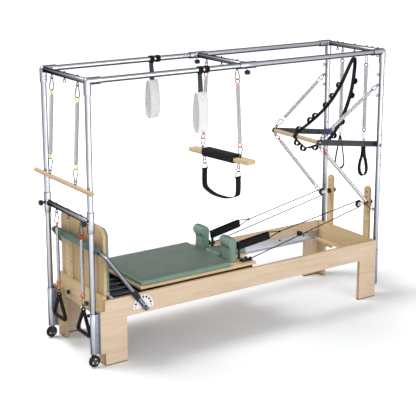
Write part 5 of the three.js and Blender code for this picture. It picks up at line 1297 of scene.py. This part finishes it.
for side, word in SIDES:
    y = side * LEG_Y
    body = f"leg_hanger_{word}"
    piece = Piece(f"leg_coil_{word}")
    coil_spring(piece, (FOOT_X, y, LOWER_Z - EYE_DROP), (FOOT_X, y, STIRRUP_EYE_Z), 110, 82, "red", "bright",
                11, (True, False), (side < 0, True))
    piece.done(body, [f"leg_spring_{word}"], "spring_steel")

    piece = Piece(f"leg_stirrup_{word}")
    corners = [Vector((FOOT_X, y + a, b)) for a, b in ((0, 362), (-94, 196), (94, 196))]
    middle = (corners[0] + corners[1]) / 2
    ring = between(bent([middle, corners[1], corners[2], corners[0], middle], 15), 9)[:-1]
    piece.put(sweep(ring, circle(12.6, 24), closed=True), "foam")
    for hand in (-1, 1):
        lean = Vector((FOOT_X, y + hand * 85, 200)) - corners[0]
        piece.put(hoop((FOOT_X, y + hand * 15, 332), lean, 11.4, 1.6, 8), "webbing")
    tab = [(FOOT_X + 13 * math.cos(t), y, 362 + 15 * math.sin(t)) for t in angles(30)]
    piece.put(sweep(tab, band_section(22, 3), closed=True, across=ALONG_Y), "webbing")
    eyelet(piece, (FOOT_X, y, STIRRUP_EYE_Z), (FOOT_X, y, 366))
    piece.done(body, [f"leg_handle_{word}"], "webbing")

    y = side * ROLL_Y
    piece = Piece(f"roll_coil_{word}")
    coil_spring(piece, (FOOT_X, y, EYE_Z), (ROLL_X, y, ROLL_EYE_Z), 112, 118, "yellow",
                open_ring=(side < 0, side < 0))
    piece.done("roll_down", [f"roll_spring_{word}"], "spring_steel")

piece = Piece("roll_down_dowel")
piece.put(rod((ROLL_X, -410, 1214), (ROLL_X, 410, 1214), 16, 40, 2.5), "wood_dowel")
for y in (-ROLL_Y, ROLL_Y):
    eyelet(piece, (ROLL_X, y, ROLL_EYE_Z), (ROLL_X, y, 1216))
    collar(piece, (ROLL_X, y, 1228), UP, 9, 3.2)
    nut(piece, (ROLL_X, y, 1199), DOWN, 6, 4)
piece.done("roll_down", ["roll_down_bar"], "birch")


# Trapeze

trapeze = Matrix.Translation((MID_X, 0, 0)) @ Matrix.Rotation(math.radians(8), 4, "Z")
for side, word in SIDES:
    eye = trapeze @ Vector((0, side * 200, TRAPEZE_EYE_Z))
    piece = Piece(f"trapeze_coil_{word}")
    coil_spring(piece, (MID_X, side * 189, EYE_Z), eye, 106, 96, "red")
    piece.done("trapeze", [f"trapeze_spring_{word}"], "spring_steel")

piece = Piece("trapeze_board", trapeze)
piece.put(slab(rounded(-40, -317.5, 40, 317.5, 6), "z", 1210, 1239, 2), "wood_y")
for y in (-200, 200):
    eyelet(piece, (0, y, TRAPEZE_EYE_Z), (0, y, 1230))
    collar(piece, (0, y, 1237.5), UP, 8, 2.2)
    nut(piece, (0, y, 1218.5), DOWN, 6, 4)
for y in (-182, 182):
    eyelet(piece, (0, y, SLING_EYE_Z), (0, y, 1226))
    collar(piece, (0, y, 1218.5), DOWN, 8, 2.2)
piece.done("trapeze", slot="birch")


def sleeve_section(half_wide, half_deep):
    """Oval with flattened sides."""
    return [(half_wide * math.copysign(abs(c) ** 0.5, c), half_deep * math.copysign(abs(s) ** 0.55, s))
            for c, s in circle(1, 44)]


piece = Piece("trapeze_sleeve", trapeze)
ends = [(-170, 0.55), (-169, 0.8), (-166, 0.93), (-160, 0.99)]
swell = ends + [(-150 + 300 * k / 24, 1 + 0.012 * math.sin(k * 1.7)) for k in range(25)]
swell += [(-s, r) for s, r in ends[::-1]]
piece.put(sweep([(0, s, 1228) for s, _ in swell], sleeve_section(47, 32), scale=[r for _, r in swell],
                along=ALONG_Y, across=ALONG_X), "foam")
for s in (-158, 158):
    piece.put(sweep([(0, s - 1.2, 1228), (0, s + 1.2, 1228)], sleeve_section(47.6, 32.5), along=ALONG_Y,
                    across=ALONG_X), "webbing")
seam = [(0, s, 1195.6) for s in range(-156, 157, 6)]
piece.put(sweep(seam, band_section(3, 1.2, 1), across=ALONG_X), "webbing")
piece.done("trapeze", ["trapeze_bar"], "black_plastic")

SLING = [(1, 0), (1.01, 0.3), (1, 0.6), (0.95, 0.76), (0.74, 0.88), (0.38, 0.98), (0, 1)]
SLING_RING = [(-28, 1097), (0, 1095.5), (28, 1097), (24, 1118), (10, 1135), (0, 1139), (-10, 1135),
              (-24, 1118)]
piece = Piece("trapeze_strap", trapeze)
half = [(SLING_Y * u, 1092 - 174.5 * v) for u, v in SLING]
path = smooth([(0, -y, z) for y, z in half] + [(0, y, z) for y, z in half[::-1][1:]], 10)
puffs = [1 + 0.02 * math.sin(k * 0.9) for k in range(len(path))]
piece.put(sweep(path, band_section(50, 6.6, 3), across=ALONG_X, scale=puffs), "webbing")
for y in (-SLING_Y, SLING_Y):
    piece.put(rod((-25, y, 1095), (25, y, 1095), 6.6, 24, 1.5), "webbing")
    ring = smooth([(x, y, z) for x, z in SLING_RING], 5, closed=True)
    piece.put(sweep(ring, circle(2.8, 9), closed=True), "clip")
    eye = Vector((0, math.copysign(182, y), SLING_EYE_Z))
    down = (Vector((0, y, 1139)) - eye).normalized()
    clasp(piece, lambda s, u, v: eye + down * (EYE_SEAT + s) + Vector(ALONG_Y) * u,
          (Vector((0, y, 1136.5)) - eye).length - EYE_SEAT + 2.4)
    piece.put(rod(eye + down * 40, eye + down * 46, 5, 16), "red")
piece.done("trapeze", ["trapeze_sling"], "webbing")


# Fleece loops

FLEECE = [(0, 0), (0.5, 0.04), (0.88, 0.17), (1, 0.38), (0.88, 0.64), (0.58, 0.88), (0.2, 0.99)]


def both_halves(x, y, half):
    """Closed loop across y, from its one half."""
    return [(x, y + a, b) for a, b in half] + [(x, y - a, b) for a, b in half[::-1][:-1]]


def ruffle(obj, seed):
    """The fleece's surface moved in and out by fine noise."""
    wanted = [i for i, m in enumerate(obj.data.materials) if m == finish_of("fleece")]
    touched = {v for f in obj.data.polygons if f.material_index in wanted for v in f.vertices}
    shift = Vector((seed * 3.1, seed * 1.7, seed * 0.9))
    moves = {}
    for i in touched:
        vertex = obj.data.vertices[i]
        moves[i] = vertex.normal * (noise.fractal(vertex.co * 190 + shift, 0.6, 2.1, 3) * 0.0024)
    for i, move in moves.items():
        obj.data.vertices[i].co += move


for number, (side, word) in enumerate(SIDES):
    y = side * POST_Y
    piece = Piece(f"fleece_band_{word}")
    loop = both_halves(785, y, [(33.5 * u, 1500 + 268 * v) for u, v in FLEECE])
    path = between(smooth(loop, 6, closed=True), 4.2)
    ribbon = [(p.x, p.y) for p in between([(a, b, 0) for a, b in band_section(80, 11, 3)], 4.2)]
    piece.put(sweep(path, ribbon, closed=True, across=ALONG_X), "fleece")
    for edge in (-39, 39):
        hem = [p + Vector((edge, 0, 0)) for p in path]
        piece.put(sweep(hem, circle(2.6, 8), closed=True), "hem")
    for x in (776, 827):
        for shift in (-0.26, 0.26):
            r = 23.2 + shift
            wrap = [(x + shift * 34, y + r * math.sin(t), RAIL_Z + r * math.cos(t)) for t in angles(40)]
            piece.put(sweep(wrap, band_section(17, 4.6, 3), closed=True, across=ALONG_X), "webbing")
    for hand in HANDS:
        drop = smooth([(777, y + hand * 1.7, 1901), (778, y + hand * 1.9, 1870), (781, y + hand * 1.8, 1835),
                       (784, y + hand * 1.7, 1760)])
        wider = [0.94 + 0.16 * k / len(drop) for k in range(len(drop))]
        piece.put(sweep(drop, band_section(34, 3.2), across=ALONG_X, along=DOWN, scale=wider), "strap")
    for z in (1893, 1776):
        piece.put(block((780 - 17, y - 4.4, z), (780 + 17, y + 4.4, z + 3), 1), "webbing")
    band = piece.done(f"fleece_{word}", [f"fleece_loop_{word}"], "fleece")
    ruffle(band, number + 1)


# Push-through bar

push = Matrix.Translation((HEAD_X, 0, PUSH_Z)) @ Matrix.Rotation(math.radians(8), 4, "Y")
EYE_REACH, EYE_RISE = -551, 32.5
for side, word in SIDES:
    inner, outer = side * (PUSH_Y - 11), side * (PUSH_Y + 11)
    piece = Piece(f"push_through_arm_{word}", push)
    arm = [(24, -21), (24, 21)] + arc(-562, 0, 21, 90, 270, 14)
    piece.put(slab(arm, "y", inner, outer, 2.2), "black")
    piece.put(rod((0, outer - side, 0), (0, side * 292.7, 0), 14, 28, 1.5), "black")
    piece.put(rod((0, side * 292, 0), (0, side * 341, 0), 8, 24), "chrome")
    bolt(piece, (0, inner, 0), (0, -side, 0), 9, 5)
    bolt(piece, (-PUSH_REACH, outer, 0), (0, side, 0), 8, 4)
    for reach in (-120, -240, -360):
        bore(piece, (reach, inner, 0), (0, -side, 0))
    for hand in HANDS:
        eyelet(piece, (EYE_REACH, side * PUSH_Y, hand * EYE_RISE), (EYE_REACH, side * PUSH_Y, hand * 14))
    piece.done("push_bar", [f"push_arm_{word}"], "black_metal")

piece = Piece("push_through_dowel", push)
piece.put(rod((-PUSH_REACH, -258.7, 0), (-PUSH_REACH, 258.7, 0), 16, 40, 1.5), "wood_dowel")
piece.done("push_bar", ["push_dowel"], "birch")

for side, word in SIDES:
    upper_looks = ("blue", "bright") if side < 0 else ("spring", "spring")
    for level, hand, eye_z, looks, opened in (("upper", 1, 1671, upper_looks, side > 0),
                                              ("lower", -1, 698, ("red", "cream"), False)):
        eye = Vector((POST_EYE_X, side * POST_Y, eye_z))
        tip = push @ Vector((EYE_REACH, side * PUSH_Y, hand * EYE_RISE))
        from_top = (eye, tip) if hand > 0 else (tip, eye)
        piece = Piece(f"push_{level}_coil_{word}")
        coil_spring(piece, *from_top, 82, 104, *looks, open_ring=(opened, True))
        piece.blended("push_bar", "base", place(tip), place(eye), f"push_{level}_spring_{word}",
                      "spring_steel")

    y = side * LOOP_Y
    piece = Piece(f"head_coil_{word}")
    coil_spring(piece, (HEAD_X, y, EYE_Z), (HEAD_X, y, LOOP_EYE_Z), 96, 92, "blue", "bright",
                clasps=(False, False))
    piece.done(f"head_hanger_{word}", [f"head_spring_{word}"], "spring_steel")

HAND_LOOPS = {"front": (15, [(0, 0), (0.55, 0.03), (0.92, 0.12), (1, 0.26), (0.74, 0.44), (0.36, 0.6),
                             (0.2, 0.78), (0.2, 1)]),
              "back": (57, [(0, 0), (0.6, 0.03), (1, 0.12), (1.04, 0.22), (0.76, 0.5), (0.36, 0.8),
                            (0.14, 1)])}
for side, word in SIDES:
    y = side * LOOP_Y
    degrees, half = HAND_LOOPS[word]
    local = (Matrix.Translation((HEAD_X, y, 0)) @ Matrix.Rotation(math.radians(degrees), 4, "Z")
             @ Matrix.Translation((-HEAD_X, -y, 0)))
    piece = Piece(f"hand_loop_{word}", local)
    loop = both_halves(HEAD_X, y, [(33 * u, 930.5 + 262 * v) for u, v in half])
    piece.put(sweep(smooth(loop, closed=True), band_section(40, 6.4), closed=True, across=ALONG_X), "webbing")
    piece.put(block((HEAD_X - 20.5, y - 9, 1168), (HEAD_X + 20.5, y + 9, 1186), 2), "webbing")
    eyelet(piece, (HEAD_X, y, LOOP_EYE_Z), (HEAD_X, y, 1190))
    piece.done(f"head_hanger_{word}", [f"head_loop_{word}"], "webbing")


# Long strap with its row of sewn loops

STRAP_Y = -6
STRAP_DOWN = [(0.01, 0), (0.25, 0.33), (0.48, 0.56), (0.75, 0.72), (0.92, 0.8)]
STRAP_BACK = [(0.83, 1.03), (0.64, 1.02), (0.48, 1.01), (0.3, 0.86), (0.15, 0.65), (0.03, 0.35)]
LOOP_SHARES = (0.109, 0.168, 0.218, 0.285, 0.33, 0.387, 0.452, 0.503, 0.553, 0.666, 0.719, 0.827, 0.882)
LOOP_BOW = ((-1, 0), (-1.04, 0.3), (-0.86, 0.72), (-0.45, 0.97), (0, 1.04), (0.45, 0.97), (0.86, 0.72),
            (1.04, 0.3), (1, 0))


def strap_points(shares):
    return [Vector((HEAD_X - PUSH_REACH * u, STRAP_Y, 1841.5 - 636.5 * v)) for u, v in shares]


dowel = push @ Vector((-PUSH_REACH, 0, 0))
around = [Vector((x, STRAP_Y, z)) for x, z in arc(dowel.x, dowel.z, 19.8, 125, 225, 6)]
strap = smooth(strap_points(STRAP_DOWN) + around + strap_points(STRAP_BACK), 6, closed=True)
piece = Piece("loop_strap_band")
piece.put(sweep(strap, band_section(40, 4.6), closed=True, across=ALONG_Y), "webbing")
middle = sum(strap, Vector()) / len(strap)
strap.append(strap[0])
reach = [0.0]
for a, b in zip(strap, strap[1:]):
    reach.append(reach[-1] + (b - a).length)
winding = sum((a - middle).cross(b - middle).y for a, b in zip(strap, strap[1:]))
for share in LOOP_SHARES:
    k = next(i for i, r in enumerate(reach) if r >= share * reach[-1])
    along = (strap[min(k + 1, len(strap) - 1)] - strap[k - 1]).normalized()
    out = along.cross(Vector(ALONG_Y)) * math.copysign(1, winding)
    bow = [strap[k] + along * (21 * u) + out * (2.2 + 30 * v) for u, v in LOOP_BOW]
    piece.put(sweep(smooth(bow, 3), band_section(28, 5.6), across=ALONG_Y), "webbing")
    for end in (-1, 1):
        stitch = strap[k] + along * (21 * end) + out * 3
        piece.put(rod(stitch + Vector((0, -14, 0)), stitch + Vector((0, 14, 0)), 3, 10), "webbing")
hook = [(HEAD_X, 1878), (HEAD_X - 4, 1866), (HEAD_X - 6, 1852), (HEAD_X - 6, 1836)]
piece.put(sweep([(x, STRAP_Y, z) for x, z in hook], circle(3, 10)), "clip")
piece.put(hoop((HEAD_X, 0, 1878), ALONG_X, 8, 2.6, 9, 24), "clip")
piece.blended("base", "push_bar", place((HEAD_X - 20, 0, 1500)), place((dowel.x, 0, dowel.z)), "loop_strap",
              "webbing")


# Carriage springs and their hooks, over a black sheet of painted shade

SPRINGS = [((i - 2) * 96, color) for i, color in enumerate(("blue", "red", "white", "yellow", "red"))]
HOOK_X, PLATE_X = 119.3, 634
first, last = HOOK_X + 30, PLATE_X - 22
steps = round((last - first) / 3.6) * 10
piece = Piece("carriage_coils")
for y, color in SPRINGS:
    end_cap = [(0, 3), (5, 8), (8, 12.6), (20, 12.8), (21, 11)]
    cone = [(0, 5), (8, 7), (12, 10.8), (22, 10.8), (23, 9)]
    hexagon = [(0, 9), (10.6, 9), (11, 8)]
    path = [(first + (last - first) * k / steps, y + 8 * math.cos(2 * math.pi * k / 10),
             SPRING_Z + 8 * math.sin(2 * math.pi * k / 10)) for k in range(steps + 1)]
    piece.put(hoop((HOOK_X + 7, y, SPRING_Z), ALONG_Y, 7, 1.9, 8, 24), "spring")
    piece.put(turned((HOOK_X + 14, y, SPRING_Z), ALONG_X, end_cap, 24), color)
    piece.put(sweep(path, circle(1.6, 5)), "spring_in_shade")
    piece.put(turned((PLATE_X - 2, y, SPRING_Z), (-1, 0, 0), cone, 24), "spring")
    piece.put(turned((PLATE_X, y, SPRING_Z), ALONG_X, hexagon, section=circle(1, 6)), "chrome")
piece.put(block((635, -214, 407), (645, 214, 462.7), 1.2), "black")
piece.blended("base", "carriage", place((132, 0, SPRING_Z)), place((622, 0, SPRING_Z)), "carriage_springs",
              "spring_steel")

# Painted shade: black plates under the springs, where the gap below the carriage lies in shadow.
piece = Piece("spring_shade_sheet")
for low, high, bevel in (((66, -316, 379), (286, 316, 384), 1.5), ((66, -316, 379), (70, 316, 400), 1.2),
                         ((285, -276, 379), (520, 276, 384), 1.5)):
    piece.put(block(low, high, bevel), "black")
for side, _ in SIDES:
    for x in (90, 262):
        bolt(piece, (x, side * 300, 383.6), UP, 5, 2.5)
piece.done("base")

piece = Piece("spring_bar_hooks")
for i, (y, color) in enumerate(SPRINGS):
    button = [(-1, 5), (8, 5), (9, 9), (11, 12), (20, 12), (22, 9)]
    piece.put(turned((108, y, 429), UP, button, 24), color if i else "white")
    piece.put(hoop((HOOK_X, y, SPRING_Z), ALONG_Y, 6.4, 1.8, 8, 20), "chrome")
piece.done("base")


# Rope handles

GRIP = math.hypot(354, 24)
SLOPE = math.atan2(52, GRIP)
EIGHTHS = [k / 8 for k in range(1, 8)]
for side, word in SIDES:
    local = (Matrix.Translation((ROPE_POST_X, side * REST_Y, 580))
             @ Matrix.Rotation(math.atan2(side * 24, 354), 4, "Z") @ Matrix.Rotation(-SLOPE, 4, "Y"))
    length = 256 / math.cos(SLOPE)
    knot = Vector((GRIP / math.cos(SLOPE), 0, 0))
    piece = Piece(f"strap_handle_{word}", local)
    loop = ([(length - 3, -11, 0), (length - 3, 11, 0)]
            + [(length * (1 - t), 14.6 + 1.6 * math.sin(3.2 * t + 0.4), 0) for t in EIGHTHS]
            + [(x, y, 0) for x, y in arc(0, 0, 15.8, 90, 270, 10)]
            + [(length * t, -14.6 - 1.6 * math.sin(2.6 * t), 0) for t in EIGHTHS])
    piece.put(sweep(smooth(loop, 3, closed=True), band_section(52, 3.8), closed=True, across=UP), "webbing")
    piece.put(block((length - 5, -14, -28), (length + 3, 14, 28), 2.5), "webbing")
    for hand in HANDS:
        piece.put(rod((length - 1, 0, hand * 25), knot, 3.4, 14), "rope")
        piece.put(turned((length - 7, 0, hand * 24), ALONG_X, [(0, 4.6), (10, 4.6), (12, 4)], 20), "chrome")
    knots = [knot + Vector((5.4 * math.cos(t), 5.2 * math.sin(2 * t), 5.4 * math.sin(t))) for t in angles(36)]
    piece.put(sweep(knots, circle(3.7, 10), closed=True), "rope")
    piece.blended("carriage", "base", BLEND_START, BLEND_END, f"rope_handle_{word}", "webbing")
